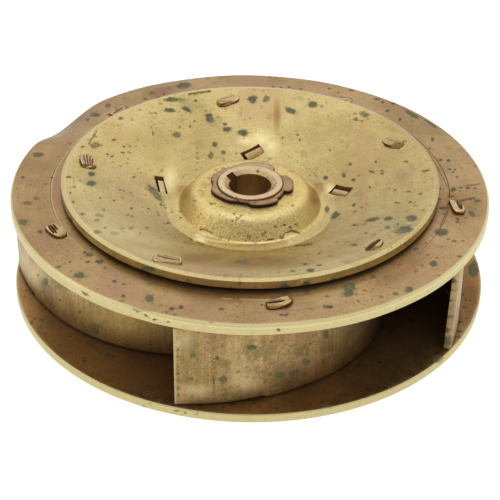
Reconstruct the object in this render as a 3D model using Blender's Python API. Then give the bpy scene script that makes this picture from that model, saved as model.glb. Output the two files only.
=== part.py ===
"""A closed centrifugal impeller fabricated from brass plate.

Two flat shrouds, a dished hub plate and five curved vanes are held together by tabs that pass
through slots and are staked over, and a keyed bronze sleeve sits in the middle of the plate.
Metres, +Z up. The origin is the middle of the underside of the lower shroud.
"""

from math import atan2, cos, hypot, pi, radians, sin, tan

import bmesh
import bpy
from mathutils import Matrix, Vector

VANES = 5
VANE_PITCH = 2 * pi / VANES
RUNNING_GAP = 0.0003  # left between pieces that touch
ROUND_STEPS = 96
PLATE_STEPS = 72
SLEEVE_STEPS = 48
ARC_STEP = radians(24)
SHARP_ANGLE = radians(35)
CUT_MARGIN = 0.0050  # how far a cutter runs past what it cuts

LOWER_RADIUS = 0.0904
LOWER_THICKNESS = 0.0035
EYE_RADIUS = 0.0320

RING_RADIUS = 0.0897
RING_TOP = 0.0413
RING_THICKNESS = 0.0044
RING_HOLE_RADIUS = 0.0660
RING_CHAMFER = 0.0009
SEAT_RADIUS = 0.0748
SEAT_DEPTH = 0.00035
EDGE_EASE = 0.0004

BEND_ANGLE = radians(150)  # where the rim of the upper shroud has been knocked down
BEND_HALF_WIDTHS = radians(17.5), radians(14)  # clockwise and counterclockwise of its middle
BEND_DEPTH = 0.0042
BEND_START_RADIUS = 0.0780
BEND_POWER = 1.5

PLATE_RADIUS = 0.0708
PLATE_THICKNESS = 0.0030
PLATE_RIM_TOP = 0.0456
PLATE_RIM_DROP = 0.0005
PLATE_RIM_BAND = 0.0016
BOWL_RADIUS, BOWL_TOP, BOWL_FILLET = 0.0615, 0.0434, 0.070
VALLEY_OUTER_RADIUS, VALLEY_INNER_RADIUS = 0.0324, 0.0270
VALLEY_TOP, VALLEY_FILLET = 0.0318, 0.0015
SHOULDER_RADIUS, DOME_TOP, SHOULDER_FILLET = 0.0213, 0.0394, 0.0035

VANE_TIP_RADIUS = 0.0883
VANE_TIP_ANGLE = radians(-106.2)
VANE_SPIRAL = 0.0004215 / radians(1)  # how fast the vane runs inwards, for each radian of turn
VANE_SWEEP = radians(130)
VANE_THICKNESS = 0.0024
VANE_LEAN = 0.0018  # how far the lower edge bellies out beyond the upper one
VANE_STATIONS = 26
VANE_STEP_RADIUS = RING_HOLE_RADIUS - VANE_THICKNESS  # inside this the vane stands up to the plate
VANE_STEP_WIDTH = 0.0006

TAB_LENGTH = 0.0080
TAB_THICKNESS = 0.0022
SLOT_CLEARANCE = 0.0003
HEAD_LENGTH, HEAD_WIDTH, HEAD_HEIGHT, HEAD_SIDES = 0.0096, 0.0056, 0.0010, 16
HEAD_JOIN = 0.0006  # how far a shank stands above the sheet, inside its head
OUTER_ROOT, MIDDLE_ROOT, INNER_ROOT = 0.0006, 0.0018, 0.0030  # how far each shank runs down towards the vane
OUTER_TAB_TURN = radians(23.8)  # turn from the tip of the vane to the middle of each tab
MIDDLE_TAB_TURN = radians(60.6)
INNER_TAB_TURN = radians(122.5)
LOWER_INNER_TAB_TURN = radians(112)
INNER_SLOT_LENGTH, INNER_SLOT_WIDTH, INNER_TAB_DEPTH = 0.0092, 0.0040, 0.0011
LOWER_TAB_END = 0.0002

BORE_RADIUS = 0.00795
SLEEVE_RADIUS = 0.0123
SLEEVE_TOP, SLEEVE_BOTTOM = 0.0415, 0.0140
BORE_CHAMFER_WIDTH, BORE_CHAMFER_DEPTH = 0.0020, 0.0012
FLANGE_RADIUS, FLANGE_THICKNESS = 0.0170, 0.0030
KEYWAY_ANGLE, KEYWAY_WIDTH, KEYWAY_DEPTH = radians(145), 0.0040, 0.0020

COLLAR_TOP = 0.0412
COLLAR_STEPS = 72
COLLAR_NOTCH_RADIUS = 0.0137
# Start and end of each lobe of the collar in degrees, and its radius.
COLLAR_LOBES = ((50, 135, 0.0163), (135, 262, 0.0152), (262, 312, 0.0160), (336, 386, 0.0163))
COLLAR_RAMP = radians(4)

# Each finish is a colour and a roughness.
BRASS_TARNISHED = (0.42, 0.27, 0.15), 0.45
BRASS_YELLOW = (0.56, 0.45, 0.19), 0.35
BRASS_VANE = (0.36, 0.27, 0.13), 0.50
BRONZE = (0.48, 0.30, 0.19), 0.40


def clear_scene():
    for old in list(bpy.data.objects):
        bpy.data.objects.remove(old, do_unlink=True)


def metal(name, colour, roughness):
    material = bpy.data.materials.new(name)
    material.use_nodes = True
    shader = material.node_tree.nodes["Principled BSDF"]
    shader.inputs["Base Color"].default_value = (*colour, 1)
    shader.inputs["Metallic"].default_value = 1
    shader.inputs["Roughness"].default_value = roughness
    return material


def add_object(name, bm, material=None):
    """The mesh as an object with its faces pointing out, smooth where it is round."""
    bmesh.ops.recalc_face_normals(bm, faces=bm.faces)
    mesh = bpy.data.meshes.new(name)
    bm.to_mesh(mesh)
    bm.free()
    mesh.shade_smooth()
    mesh.set_sharp_from_angle(angle=SHARP_ANGLE)
    piece = bpy.data.objects.new(name, mesh)
    bpy.context.collection.objects.link(piece)
    if material:
        mesh.materials.append(material)
    return piece


def helper(piece):
    """Marks an object that only shapes another one."""
    piece.hide_render = True
    piece.display_type = "WIRE"
    return piece


def boolean(piece, other, operation):
    modifier = piece.modifiers.new(other.name, "BOOLEAN")
    modifier.operation = operation
    modifier.object = other


def turned(name, outline, material, steps=ROUND_STEPS):
    """A solid of revolution from a closed outline of (radius, height)."""
    bm = bmesh.new()
    rings = []
    for radius, height in outline:
        turns = (2 * pi * i / steps for i in range(steps))
        rings.append([bm.verts.new((radius * cos(a), radius * sin(a), height)) for a in turns])
    for ring, following in zip(rings, rings[1:] + rings[:1]):
        for i in range(steps):
            j = (i + 1) % steps
            bm.faces.new((ring[i], ring[j], following[j], following[i]))
    return add_object(name, bm, material)


def prism(bm, outline, bottom, top, matrix):
    """A closed upright prism over a flat outline, placed by a matrix."""
    low = [bm.verts.new(matrix @ Vector((x, y, bottom))) for x, y in outline]
    high = [bm.verts.new(matrix @ Vector((x, y, top))) for x, y in outline]
    bm.faces.new(low)
    bm.faces.new(high)
    for i, vertex in enumerate(low):
        j = (i + 1) % len(low)
        bm.faces.new((vertex, low[j], high[j], high[i]))


def filleted(corners):
    """The open line through (radius, height, fillet) corners, with an arc at each fillet."""
    points = [Vector(corners[0][:2])]
    for before, corner, after in zip(corners, corners[1:], corners[2:]):
        here = Vector(corner[:2])
        back = (Vector(before[:2]) - here).normalized()
        ahead = (Vector(after[:2]) - here).normalized()
        half_angle = back.angle(ahead) / 2
        reach = corner[2] / tan(half_angle)
        middle = here + (back + ahead).normalized() * (corner[2] / sin(half_angle))
        first, last = here + back * reach, here + ahead * reach
        spread = (first - middle).angle_signed(last - middle)
        arc_steps = 1 + round(abs(spread) / ARC_STEP)
        for i in range(arc_steps + 1):
            turn = Matrix.Rotation(-spread * i / arc_steps, 2)
            points.append(middle + turn @ (first - middle))
    points.append(Vector(corners[-1][:2]))
    return points


def plate_surface():
    """The upper side of the hub plate, from its hole out to the band round its rim."""
    band_radius = PLATE_RADIUS - PLATE_RIM_BAND
    return filleted(
        (
            (SLEEVE_RADIUS + RUNNING_GAP, DOME_TOP, 0),
            (SHOULDER_RADIUS, DOME_TOP, SHOULDER_FILLET),
            (VALLEY_INNER_RADIUS, VALLEY_TOP, VALLEY_FILLET),
            (VALLEY_OUTER_RADIUS, VALLEY_TOP, VALLEY_FILLET),
            (BOWL_RADIUS, BOWL_TOP, BOWL_FILLET),
            (band_radius, PLATE_RIM_TOP, 0),
        )
    )


def offset_down(line, distance):
    """The line moved square to itself, away from its upper side."""
    moved = []
    for i, point in enumerate(line):
        along = line[min(i + 1, len(line) - 1)] - line[max(i - 1, 0)]
        square = Vector((along.y, -along.x)).normalized()
        moved.append(point + square * distance)
    return moved


def height_on(line, radius):
    """(height, slope) of a line of (radius, height) points at one radius."""
    for a, b in zip(line, line[1:]):
        if a.x <= radius <= b.x:
            slope = (b.y - a.y) / (b.x - a.x)
            return a.y + slope * (radius - a.x), slope
    raise ValueError("the line doesn't reach this radius")


def vane_radius(turn):
    return VANE_TIP_RADIUS - VANE_SPIRAL * turn


def vane_point(turn, lean=0.0):
    """A point on the middle line of the first vane, moved outwards by its lean."""
    angle = VANE_TIP_ANGLE + turn
    radius = vane_radius(turn) + lean
    return Vector((radius * cos(angle), radius * sin(angle)))


def vane_heading(turn):
    """The angle along which the vane runs inwards at this turn."""
    angle = VANE_TIP_ANGLE + turn
    radius = vane_radius(turn)
    along_x = -radius * sin(angle) - VANE_SPIRAL * cos(angle)
    along_y = radius * cos(angle) - VANE_SPIRAL * sin(angle)
    return atan2(along_y, along_x)


def tab_matrix(turn, height=0.0, slope=0.0, vane=0):
    """A frame with X along the vane and Z square to a surface that rises outwards by this slope."""
    point = vane_point(turn)
    outwards = VANE_TIP_ANGLE + turn
    tilt = Matrix.Rotation(-atan2(slope, 1), 4, Vector((-sin(outwards), cos(outwards), 0)))
    place = Matrix.Translation((point.x, point.y, height))
    heading = Matrix.Rotation(vane_heading(turn), 4, "Z")
    return Matrix.Rotation(vane * VANE_PITCH, 4, "Z") @ place @ tilt @ heading


def rectangle(length, width):
    x, y = length / 2, width / 2
    return ((-x, -y), (x, -y), (x, y), (-x, y))


def oval(length, width, sides):
    turns = (2 * pi * i / sides for i in range(sides))
    return [(length / 2 * cos(a), width / 2 * sin(a)) for a in turns]


def slot_cutter(name, slots, bottom, top):
    """One box for each (turn, length, width) slot of each vane, from under bottom to over top."""
    bm = bmesh.new()
    for vane in range(VANES):
        for turn, length, width in slots:
            outline = rectangle(length, width)
            prism(bm, outline, bottom - CUT_MARGIN, top + CUT_MARGIN, tab_matrix(turn, vane=vane))
    return helper(add_object(name, bm))


def slot_size():
    return TAB_LENGTH + 2 * SLOT_CLEARANCE, TAB_THICKNESS + 2 * SLOT_CLEARANCE


def make_lower_shroud(material):
    outline = (
        (EYE_RADIUS, 0),
        (EYE_RADIUS, LOWER_THICKNESS),
        (LOWER_RADIUS - EDGE_EASE, LOWER_THICKNESS),
        (LOWER_RADIUS, LOWER_THICKNESS - EDGE_EASE),
        (LOWER_RADIUS, EDGE_EASE),
        (LOWER_RADIUS - EDGE_EASE, 0),
    )
    shroud = turned("lower_shroud", outline, material)
    turns = (OUTER_TAB_TURN, MIDDLE_TAB_TURN, LOWER_INNER_TAB_TURN)
    slots = [(turn, *slot_size()) for turn in turns]
    cutter = slot_cutter("lower_slots", slots, 0, LOWER_THICKNESS)
    boolean(shroud, cutter, "DIFFERENCE")
    return shroud


def bend_rim(piece):
    """Knocks the rim of the upper shroud down over a short arc."""
    for vertex in piece.data.vertices:
        radius = hypot(vertex.co.x, vertex.co.y)
        turn = (atan2(vertex.co.y, vertex.co.x) - BEND_ANGLE + pi) % (2 * pi) - pi
        half_width = BEND_HALF_WIDTHS[turn > 0]
        if radius > BEND_START_RADIUS and abs(turn) < half_width:
            outwards = (radius - BEND_START_RADIUS) / (RING_RADIUS - BEND_START_RADIUS)
            around = cos(pi / 2 * turn / half_width) ** 2
            vertex.co.z -= BEND_DEPTH * around * outwards**BEND_POWER


def make_upper_shroud(material):
    bottom = RING_TOP - RING_THICKNESS
    face_radius = RING_RADIUS - RING_CHAMFER
    middle_radius = (BEND_START_RADIUS + face_radius) / 2
    outline = (
        (RING_HOLE_RADIUS, bottom),
        (RING_HOLE_RADIUS, RING_TOP - SEAT_DEPTH),
        (SEAT_RADIUS, RING_TOP - SEAT_DEPTH),
        (SEAT_RADIUS + SEAT_DEPTH, RING_TOP),
        (BEND_START_RADIUS, RING_TOP),
        (middle_radius, RING_TOP),
        (face_radius, RING_TOP),
        (RING_RADIUS, RING_TOP - RING_CHAMFER),
        (RING_RADIUS, bottom + EDGE_EASE),
        (RING_RADIUS - EDGE_EASE, bottom),
        (middle_radius, bottom),
        (BEND_START_RADIUS, bottom),
    )
    shroud = turned("upper_shroud", outline, material)
    bend_rim(shroud)
    cutter = slot_cutter("upper_slots", [(OUTER_TAB_TURN, *slot_size())], bottom, RING_TOP)
    boolean(shroud, cutter, "DIFFERENCE")
    return shroud


def make_hub_plate(material):
    upper = plate_surface()
    rim_edge = PLATE_RIM_TOP - PLATE_RIM_DROP
    rim = [Vector((PLATE_RADIUS, rim_edge)), Vector((PLATE_RADIUS, rim_edge - PLATE_THICKNESS))]
    lower = offset_down(upper, PLATE_THICKNESS)
    lower[0].x = upper[0].x
    plate = turned("hub_plate", upper + rim + lower[::-1], material, PLATE_STEPS)
    slots = ((MIDDLE_TAB_TURN, *slot_size()), (INNER_TAB_TURN, INNER_SLOT_LENGTH, INNER_SLOT_WIDTH))
    cutter = slot_cutter("plate_slots", slots, VALLEY_TOP - PLATE_THICKNESS, PLATE_RIM_TOP)
    boolean(plate, cutter, "DIFFERENCE")
    return plate


def vane_top(radius, underside):
    """Height of the upper edge of a vane, under the ring outside and under the plate inside."""
    if radius > VANE_STEP_RADIUS:
        return RING_TOP - RING_THICKNESS - RUNNING_GAP
    return height_on(underside, radius)[0] - 2 * RUNNING_GAP


def vane_turns():
    """The stations along a vane, with two close together where its upper edge steps up."""
    step_turn = (VANE_TIP_RADIUS - VANE_STEP_RADIUS) / VANE_SPIRAL
    half_step = VANE_STEP_WIDTH / VANE_SPIRAL / 2
    even = (VANE_SWEEP * i / VANE_STATIONS for i in range(VANE_STATIONS + 1))
    clear = [turn for turn in even if abs(turn - step_turn) > 2 * half_step]
    return sorted([*clear, step_turn - half_step, step_turn + half_step])


def make_vane_sheet(underside):
    """The curved sheet of one vane, without its tabs."""
    bm = bmesh.new()
    sections = []
    for turn in vane_turns():
        lean = VANE_LEAN * sin(pi * turn / VANE_SWEEP)
        heading = vane_heading(turn)
        side = Vector((sin(heading), -cos(heading))) * (VANE_THICKNESS / 2)
        top = vane_top(vane_radius(turn), underside)
        low, high = vane_point(turn, lean), vane_point(turn)
        corners = (
            (*(low + side), LOWER_THICKNESS + RUNNING_GAP),
            (*(low - side), LOWER_THICKNESS + RUNNING_GAP),
            (*(high - side), top),
            (*(high + side), top),
        )
        sections.append([bm.verts.new(corner) for corner in corners])
    for section, following in zip(sections, sections[1:]):
        for i in range(4):
            j = (i + 1) % 4
            bm.faces.new((section[i], section[j], following[j], following[i]))
    bm.faces.new(sections[0])
    bm.faces.new(sections[-1])
    return add_object("vane_1", bm)


def make_vane_tabs(surface):
    """The shanks of the tabs of one vane, as one helper, and the staked heads as another."""
    shanks, heads = bmesh.new(), bmesh.new()
    shank = rectangle(TAB_LENGTH, TAB_THICKNESS)
    head = oval(HEAD_LENGTH, HEAD_WIDTH, HEAD_SIDES)
    outer = tab_matrix(OUTER_TAB_TURN, RING_TOP)
    prism(shanks, shank, -RING_THICKNESS - OUTER_ROOT, HEAD_JOIN, outer)
    prism(heads, head, RUNNING_GAP, RUNNING_GAP + HEAD_HEIGHT, outer)
    height, slope = height_on(surface, vane_radius(MIDDLE_TAB_TURN))
    middle = tab_matrix(MIDDLE_TAB_TURN, height, slope)
    upright = tab_matrix(MIDDLE_TAB_TURN)
    prism(shanks, shank, height - PLATE_THICKNESS - MIDDLE_ROOT, height + HEAD_JOIN, upright)
    prism(heads, head, RUNNING_GAP, RUNNING_GAP + HEAD_HEIGHT, middle)
    height, slope = height_on(surface, vane_radius(INNER_TAB_TURN))
    inner = tab_matrix(INNER_TAB_TURN)
    prism(shanks, shank, height - PLATE_THICKNESS - INNER_ROOT, height - INNER_TAB_DEPTH, inner)
    for turn in (OUTER_TAB_TURN, MIDDLE_TAB_TURN, LOWER_INNER_TAB_TURN):
        prism(shanks, shank, LOWER_TAB_END, LOWER_THICKNESS + OUTER_ROOT, tab_matrix(turn))
    return helper(add_object("vane_shanks", shanks)), helper(add_object("vane_heads", heads))


def make_vanes(material):
    surface = plate_surface()
    first = make_vane_sheet(offset_down(surface, PLATE_THICKNESS))
    helpers = make_vane_tabs(surface)
    for other in helpers:
        boolean(first, other, "UNION")
    graph = bpy.context.evaluated_depsgraph_get()
    mesh = bpy.data.meshes.new_from_object(first.evaluated_get(graph))
    mesh.materials.clear()
    mesh.materials.append(material)
    for other in (first, *helpers):
        bpy.data.objects.remove(other, do_unlink=True)
    for i in range(VANES):
        vane = bpy.data.objects.new(f"vane_{i + 1}", mesh)
        vane.rotation_euler.z = i * VANE_PITCH
        bpy.context.collection.objects.link(vane)


def make_sleeve(material):
    """The keyed hub: a turned sleeve with a flange that bears on the dome from below."""
    flange_top = DOME_TOP - PLATE_THICKNESS - RUNNING_GAP
    outline = (
        (BORE_RADIUS, SLEEVE_BOTTOM),
        (BORE_RADIUS, SLEEVE_TOP - BORE_CHAMFER_DEPTH),
        (BORE_RADIUS + BORE_CHAMFER_WIDTH, SLEEVE_TOP),
        (SLEEVE_RADIUS, SLEEVE_TOP),
        (SLEEVE_RADIUS, flange_top),
        (FLANGE_RADIUS, flange_top),
        (FLANGE_RADIUS, flange_top - FLANGE_THICKNESS),
        (SLEEVE_RADIUS, flange_top - FLANGE_THICKNESS),
        (SLEEVE_RADIUS, SLEEVE_BOTTOM),
    )
    sleeve = turned("hub_sleeve", outline, material, SLEEVE_STEPS)
    bm = bmesh.new()
    reach, half = BORE_RADIUS + KEYWAY_DEPTH, KEYWAY_WIDTH / 2
    keyway = ((0, -half), (reach, -half), (reach, half), (0, half))
    turn = Matrix.Rotation(KEYWAY_ANGLE, 4, "Z")
    prism(bm, keyway, SLEEVE_BOTTOM - CUT_MARGIN, SLEEVE_TOP + CUT_MARGIN, turn)
    boolean(sleeve, helper(add_object("keyway_cutter", bm)), "DIFFERENCE")
    return sleeve


def collar_radius(angle):
    """Outer radius of the scalloped collar, which steps between its lobes."""
    radius = COLLAR_NOTCH_RADIUS
    for start, end, lobe in COLLAR_LOBES:
        into = (angle - radians(start)) % (2 * pi)
        length = radians(end - start)
        if into < length:
            share = min(1, into / COLLAR_RAMP, (length - into) / COLLAR_RAMP)
            radius = max(radius, COLLAR_NOTCH_RADIUS + (lobe - COLLAR_NOTCH_RADIUS) * share)
    return radius


def make_collar(material):
    bm = bmesh.new()
    inner, bottom = SLEEVE_RADIUS + RUNNING_GAP, DOME_TOP + RUNNING_GAP
    sections = []
    for i in range(COLLAR_STEPS):
        angle = 2 * pi * i / COLLAR_STEPS
        outer = collar_radius(angle)
        corners = ((inner, bottom), (outer, bottom), (outer, COLLAR_TOP), (inner, COLLAR_TOP))
        sections.append([bm.verts.new((r * cos(angle), r * sin(angle), z)) for r, z in corners])
    for section, following in zip(sections, sections[1:] + sections[:1]):
        for i in range(4):
            j = (i + 1) % 4
            bm.faces.new((section[i], section[j], following[j], following[i]))
    return add_object("hub_collar", bm, material)


def main():
    clear_scene()
    make_lower_shroud(metal("lower_shroud_brass", *BRASS_TARNISHED))
    make_upper_shroud(metal("upper_shroud_brass", *BRASS_TARNISHED))
    make_hub_plate(metal("hub_plate_brass", *BRASS_YELLOW))
    make_vanes(metal("vane_brass", *BRASS_VANE))
    make_sleeve(metal("sleeve_bronze", *BRONZE))
    make_collar(metal("collar_bronze", *BRONZE))


main()
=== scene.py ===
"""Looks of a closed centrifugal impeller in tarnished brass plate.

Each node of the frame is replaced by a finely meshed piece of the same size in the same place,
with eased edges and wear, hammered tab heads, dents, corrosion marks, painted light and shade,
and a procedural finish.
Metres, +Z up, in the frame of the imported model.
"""

from collections import namedtuple
from math import atan2, ceil, cos, pi, radians, sin, tan

import bpy
import numpy as np
from mathutils import Matrix, Vector


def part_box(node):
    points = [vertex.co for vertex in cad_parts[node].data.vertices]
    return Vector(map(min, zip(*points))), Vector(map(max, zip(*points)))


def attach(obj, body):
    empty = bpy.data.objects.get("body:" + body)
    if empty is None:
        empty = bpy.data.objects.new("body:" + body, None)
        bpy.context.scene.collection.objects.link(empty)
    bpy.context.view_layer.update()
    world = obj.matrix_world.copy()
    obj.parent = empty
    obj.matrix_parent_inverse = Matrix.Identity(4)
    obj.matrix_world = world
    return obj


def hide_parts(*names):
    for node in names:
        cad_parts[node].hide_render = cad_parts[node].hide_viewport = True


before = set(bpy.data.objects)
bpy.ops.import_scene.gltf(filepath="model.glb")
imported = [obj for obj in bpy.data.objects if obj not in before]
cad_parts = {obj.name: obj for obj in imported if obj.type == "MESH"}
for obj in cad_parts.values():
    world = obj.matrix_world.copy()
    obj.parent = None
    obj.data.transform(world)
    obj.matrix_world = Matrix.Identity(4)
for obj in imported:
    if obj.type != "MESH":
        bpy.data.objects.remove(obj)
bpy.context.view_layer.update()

MM = 0.001
VANES = 5
VANE_PITCH = 2 * pi / VANES
RUNNING_GAP = 0.0003

LOWER_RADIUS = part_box("lower_shroud")[1].x
LOWER_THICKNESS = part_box("lower_shroud")[1].z
EYE_RADIUS = 0.0320
LOWER_EDGE_EASE = 0.0005

RING_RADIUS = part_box("upper_shroud")[1].x
RING_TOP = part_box("upper_shroud")[1].z
RING_THICKNESS = 0.0044
RING_BOTTOM = RING_TOP - RING_THICKNESS
RING_HOLE_RADIUS = 0.0660
RING_CHAMFER = 0.0009
SEAT_RADIUS = 0.0748
SEAT_DEPTH = 0.00035

BEND_ANGLE = radians(150)
BEND_HALF_WIDTHS = radians(17.5), radians(14)  # clockwise and counterclockwise of its middle
BEND_DEPTH = 0.0042
BEND_START_RADIUS = 0.0780
BEND_POWER = 1.5

PLATE_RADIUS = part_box("hub_plate")[1].x
PLATE_RIM_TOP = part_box("hub_plate")[1].z
PLATE_THICKNESS = 0.0030
PLATE_RIM_DROP = 0.0005
PLATE_RIM_EDGE = PLATE_RIM_TOP - PLATE_RIM_DROP
PLATE_RIM_BAND = 0.0016
BOWL_RADIUS, BOWL_TOP, BOWL_FILLET = 0.0615, 0.0434, 0.070
VALLEY_OUTER_RADIUS, VALLEY_INNER_RADIUS, VALLEY_TOP = 0.0324, 0.0270, 0.0318
VALLEY_OUTER_FILLET, VALLEY_INNER_FILLET = 0.0012, 0.0015
SHOULDER_RADIUS, DOME_TOP, SHOULDER_FILLET = 0.0213, 0.0394, 0.0050

# How unevenly the plates lie: the depth, and the shortest and longest waves.
RING_WAVES = 0.00006, 0.020, 0.060
PLATE_WAVES = 0.00008, 0.010, 0.040
OPEN_SLOTS = 3
SLOT_DENT_DEPTH, SLOT_DENT_REACH = 0.0006, 0.006

VANE_TIP_RADIUS = 0.0883
VANE_TIP_ANGLE = radians(-106.2)
VANE_SPIRAL = 0.0004215 / radians(1)  # how fast the vane runs inwards, for each radian of turn
VANE_SWEEP = radians(130)
VANE_THICKNESS = 0.0024
VANE_LEAN = 0.0018
VANE_STEP_RADIUS = RING_HOLE_RADIUS - VANE_THICKNESS
VANE_STEP_WIDTH = 0.0006
VANE_EASE = 0.0004

TAB_LENGTH, TAB_THICKNESS, SLOT_CLEARANCE = 0.0080, 0.0022, 0.0003
OUTER_TAB_TURN = radians(23.8)
MIDDLE_TAB_TURN = radians(60.6)
INNER_TAB_TURN = radians(122.5)
LOWER_INNER_TAB_TURN = radians(112)
LOWER_TAB_END = 0.0002

SLEEVE_RADIUS = 0.0123
SLEEVE_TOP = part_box("hub_sleeve")[1].z
SLEEVE_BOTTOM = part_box("hub_sleeve")[0].z
BORE_RADIUS = 0.00795
BORE_CHAMFER_WIDTH, BORE_CHAMFER_DEPTH = 0.0020, 0.0012
FLANGE_RADIUS, FLANGE_THICKNESS = 0.0170, 0.0030
KEYWAY_ANGLE, KEYWAY_WIDTH, KEYWAY_DEPTH = radians(145), 0.0040, 0.0020
COLLAR_PLAY = 0.00006
COLLAR_INNER_RADIUS = SLEEVE_RADIUS + COLLAR_PLAY
COLLAR_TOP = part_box("hub_collar")[1].z

# How finely each piece is meshed: points round it, and the spacing along its outline.
PLATE_STEPS, RING_STEPS, LOWER_STEPS, SLEEVE_STEPS, COLLAR_STEPS = 540, 900, 640, 240, 480
FINE, PLATE_SPACING, MEDIUM, COARSE = 0.5 * MM, 0.62 * MM, 0.9 * MM, 3 * MM
FINE_ARC, COARSE_ARC = radians(6), radians(20)
VANE_STATIONS, VANE_ROWS, ARC_ROWS = 170, 50, 4
HEAD_SIDES, HEAD_RINGS = 96, 22
SHARP_EDGE = radians(40)
CUT_MARGIN = 5 * MM

# The camera, as worked out from the ellipses of the two shrouds in the photograph.
PHOTO_SIDE = 500
FOCAL_PIXELS = 1450
SENSOR_WIDTH = 36
CAMERA_TARGET = Vector((0.00034, 0, 0.01058))
CAMERA_DISTANCE = 0.56445
CAMERA_ELEVATION = radians(33.7978)
CAMERA_ROLL = radians(0.8707)

# The softboxes, which all point at one place: where each is, its width, height and power.
LIGHT_TARGET = (0, 0, 0.03)
SOFTBOXES = {
    "softbox_back": ((0.1, 0.75, 0.75), 0.9, 0.5, 0.5),
    "softbox_top": ((-0.1, -0.05, 0.9), 0.7, 0.6, 0.6),
    "softbox_left": ((-0.9, -0.1, 0.5), 0.5, 0.6, 0.6),
}
FLOOR_HALF_SIDE = 30.0

# Colours as the eye reads them, from 0 to 255.
HALO, TEAL, OLIVE, SPOT_RIM = (156, 142, 82), (72, 92, 76), (92, 92, 56), (62, 60, 42)
# In this row the brown is laid on as painted shade as well as tarnish, and the near black as painted shade
# with some soiling.
PIT, SCRATCH_AND_SHADOW_LINE_COLOUR, SHADE_AND_TARNISH_COLOUR, SHADE_AND_DIRT_COLOUR = (84, 58, 34), (74, 50, 28), (186, 154, 106), (30, 18, 8)
# In this row the pale yellow is painted light, the golden yellow is polished metal and painted sheen, and
# the dull brown of the slot walls stands in part for their shade.
PAINTED_LIGHT_COLOUR, GOLD_AND_SHEEN_COLOUR, WALL = (246, 232, 176), (238, 210, 128), (150, 96, 50)
# Edge colours, for metal bared by wear that also takes painted highlights.
PALE_EDGE, PLATE_EDGE = (204, 190, 137), (206, 190, 140)

# Each finish: its bare, aged, rosy and stained colours and its roughness, and, where it differs, the
# colour of its edges bared by wear, which also take painted highlights, whether its fine marks run
# round the axis, and how lively its tarnish is.
Look = namedtuple(
    "Look", "bare aged rose rough stain worn lathe contrast", defaults=((140, 122, 78), PALE_EDGE, True, 1.0)
)
LOOKS = {
    "lower_brass": Look((190, 152, 100), (160, 124, 76), (160, 122, 90), 0.42, (132, 128, 74)),
    "ring_brass": Look((180, 150, 106), (156, 128, 86), (160, 124, 96), 0.42),
    "plate_brass": Look((200, 180, 123), (184, 162, 106), (184, 150, 110), 0.36, (146, 134, 88), PLATE_EDGE),
    "vane_brass": Look(
        (192, 164, 114), (156, 130, 80), (160, 124, 92), 0.45, (108, 98, 58), lathe=False, contrast=1.8
    ),
    "tab_brass": Look((190, 162, 116), (164, 136, 92), (172, 138, 106), 0.34, lathe=False),
    "sleeve_bronze": Look((200, 170, 132), (178, 146, 110), (176, 138, 110), 0.36, (140, 122, 90)),
    "collar_bronze": Look((170, 134, 100), (144, 110, 80), (156, 114, 90), 0.34, (130, 112, 84)),
}

# Scattered marks, on the sides that the photograph doesn't show and, in the last row, in crowds too
# small to place one by one: how many, and their smallest and largest half widths in mm.
UNSEEN_SPOTS, UNSEEN_PITS, UNSEEN_ROSE = (40, 0.6, 2.2), (60, 0.3, 0.8), (10, 6, 14)
UNSEEN_VANE_SPOTS, UNSEEN_VANE_PITS = (12, 0.6, 2.0), (20, 0.3, 0.8)
DOME_PITS, SLEEVE_PITS, COLLAR_PITS = (60, 0.12, 0.3), (8, 0.2, 0.5), (10, 0.2, 0.5)


def alike(half_width, half_height, *pixels):
    """Marks of one size."""
    return [(*pixel, half_width, half_height) for pixel in pixels]


# Marks read off the photograph, in its pixels: x, y, half width, half height and, for a
# mark that lies aslant, its turn in degrees, rising to the right where it is positive. A line has its
# half width and the pixels that it runs through.
PLATE_SPOTS = (
    (95, 145.6, 4.5, 3), (91.6, 174, 4, 2.2), (91.4, 183.4, 4.3, 2.7), (121, 118.5, 2.5, 1.4),
    (155, 193, 10, 3, -48), (98, 215, 3, 1.5), (101.5, 216, 2.5, 1.2), (173, 99.6, 8.5, 2.2),
    (209.7, 117.7, 4.7, 3.5, -30), (226.7, 129.7, 4.7, 2.4), (242.8, 132.5, 5, 3.2), (176.4, 134.8, 4, 2.8),
    (215, 144.4, 2.7, 2.7), (210.8, 155.5, 2.5, 3), (223.2, 152.4, 2.2, 1.8), (252.5, 99.4, 4.5, 3.3),
    (266.2, 99, 3, 3), (291.2, 110.5, 5.5, 2.7, -20), (312.4, 104.8, 4.5, 3), (364.2, 114.2, 4.5, 2.5, -25),
    (355.6, 119.4, 2, 1.5), (344, 175.4, 2, 2), (325.7, 177.7, 2, 2), (327, 209.8, 2.3, 3),
    (335, 215.5, 4.5, 2.7, 40), (372.2, 219.6, 6.5, 2, 12), (388.5, 218.4, 4, 2), (411.3, 218.2, 5.5, 3),
    (404, 230, 8.5, 3.5, 12), (387.6, 227.5, 3, 1.7), (241, 261.8, 6.5, 2), (310.4, 270.3, 3.5, 1.8),
    (353.3, 244.8, 3.5, 1.3), (97.6, 231.6, 4, 2), (114.8, 233.3, 4, 1.8), (121.7, 228.4, 3, 1.4),
    (130.5, 227.8, 2.8, 1.6), (148.5, 269.5, 7, 3), (353.3, 180, 2, 1.5), (186, 109, 5, 1.8, -25),
    (169.3, 110.2, 5.5, 1.8),
)
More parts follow.
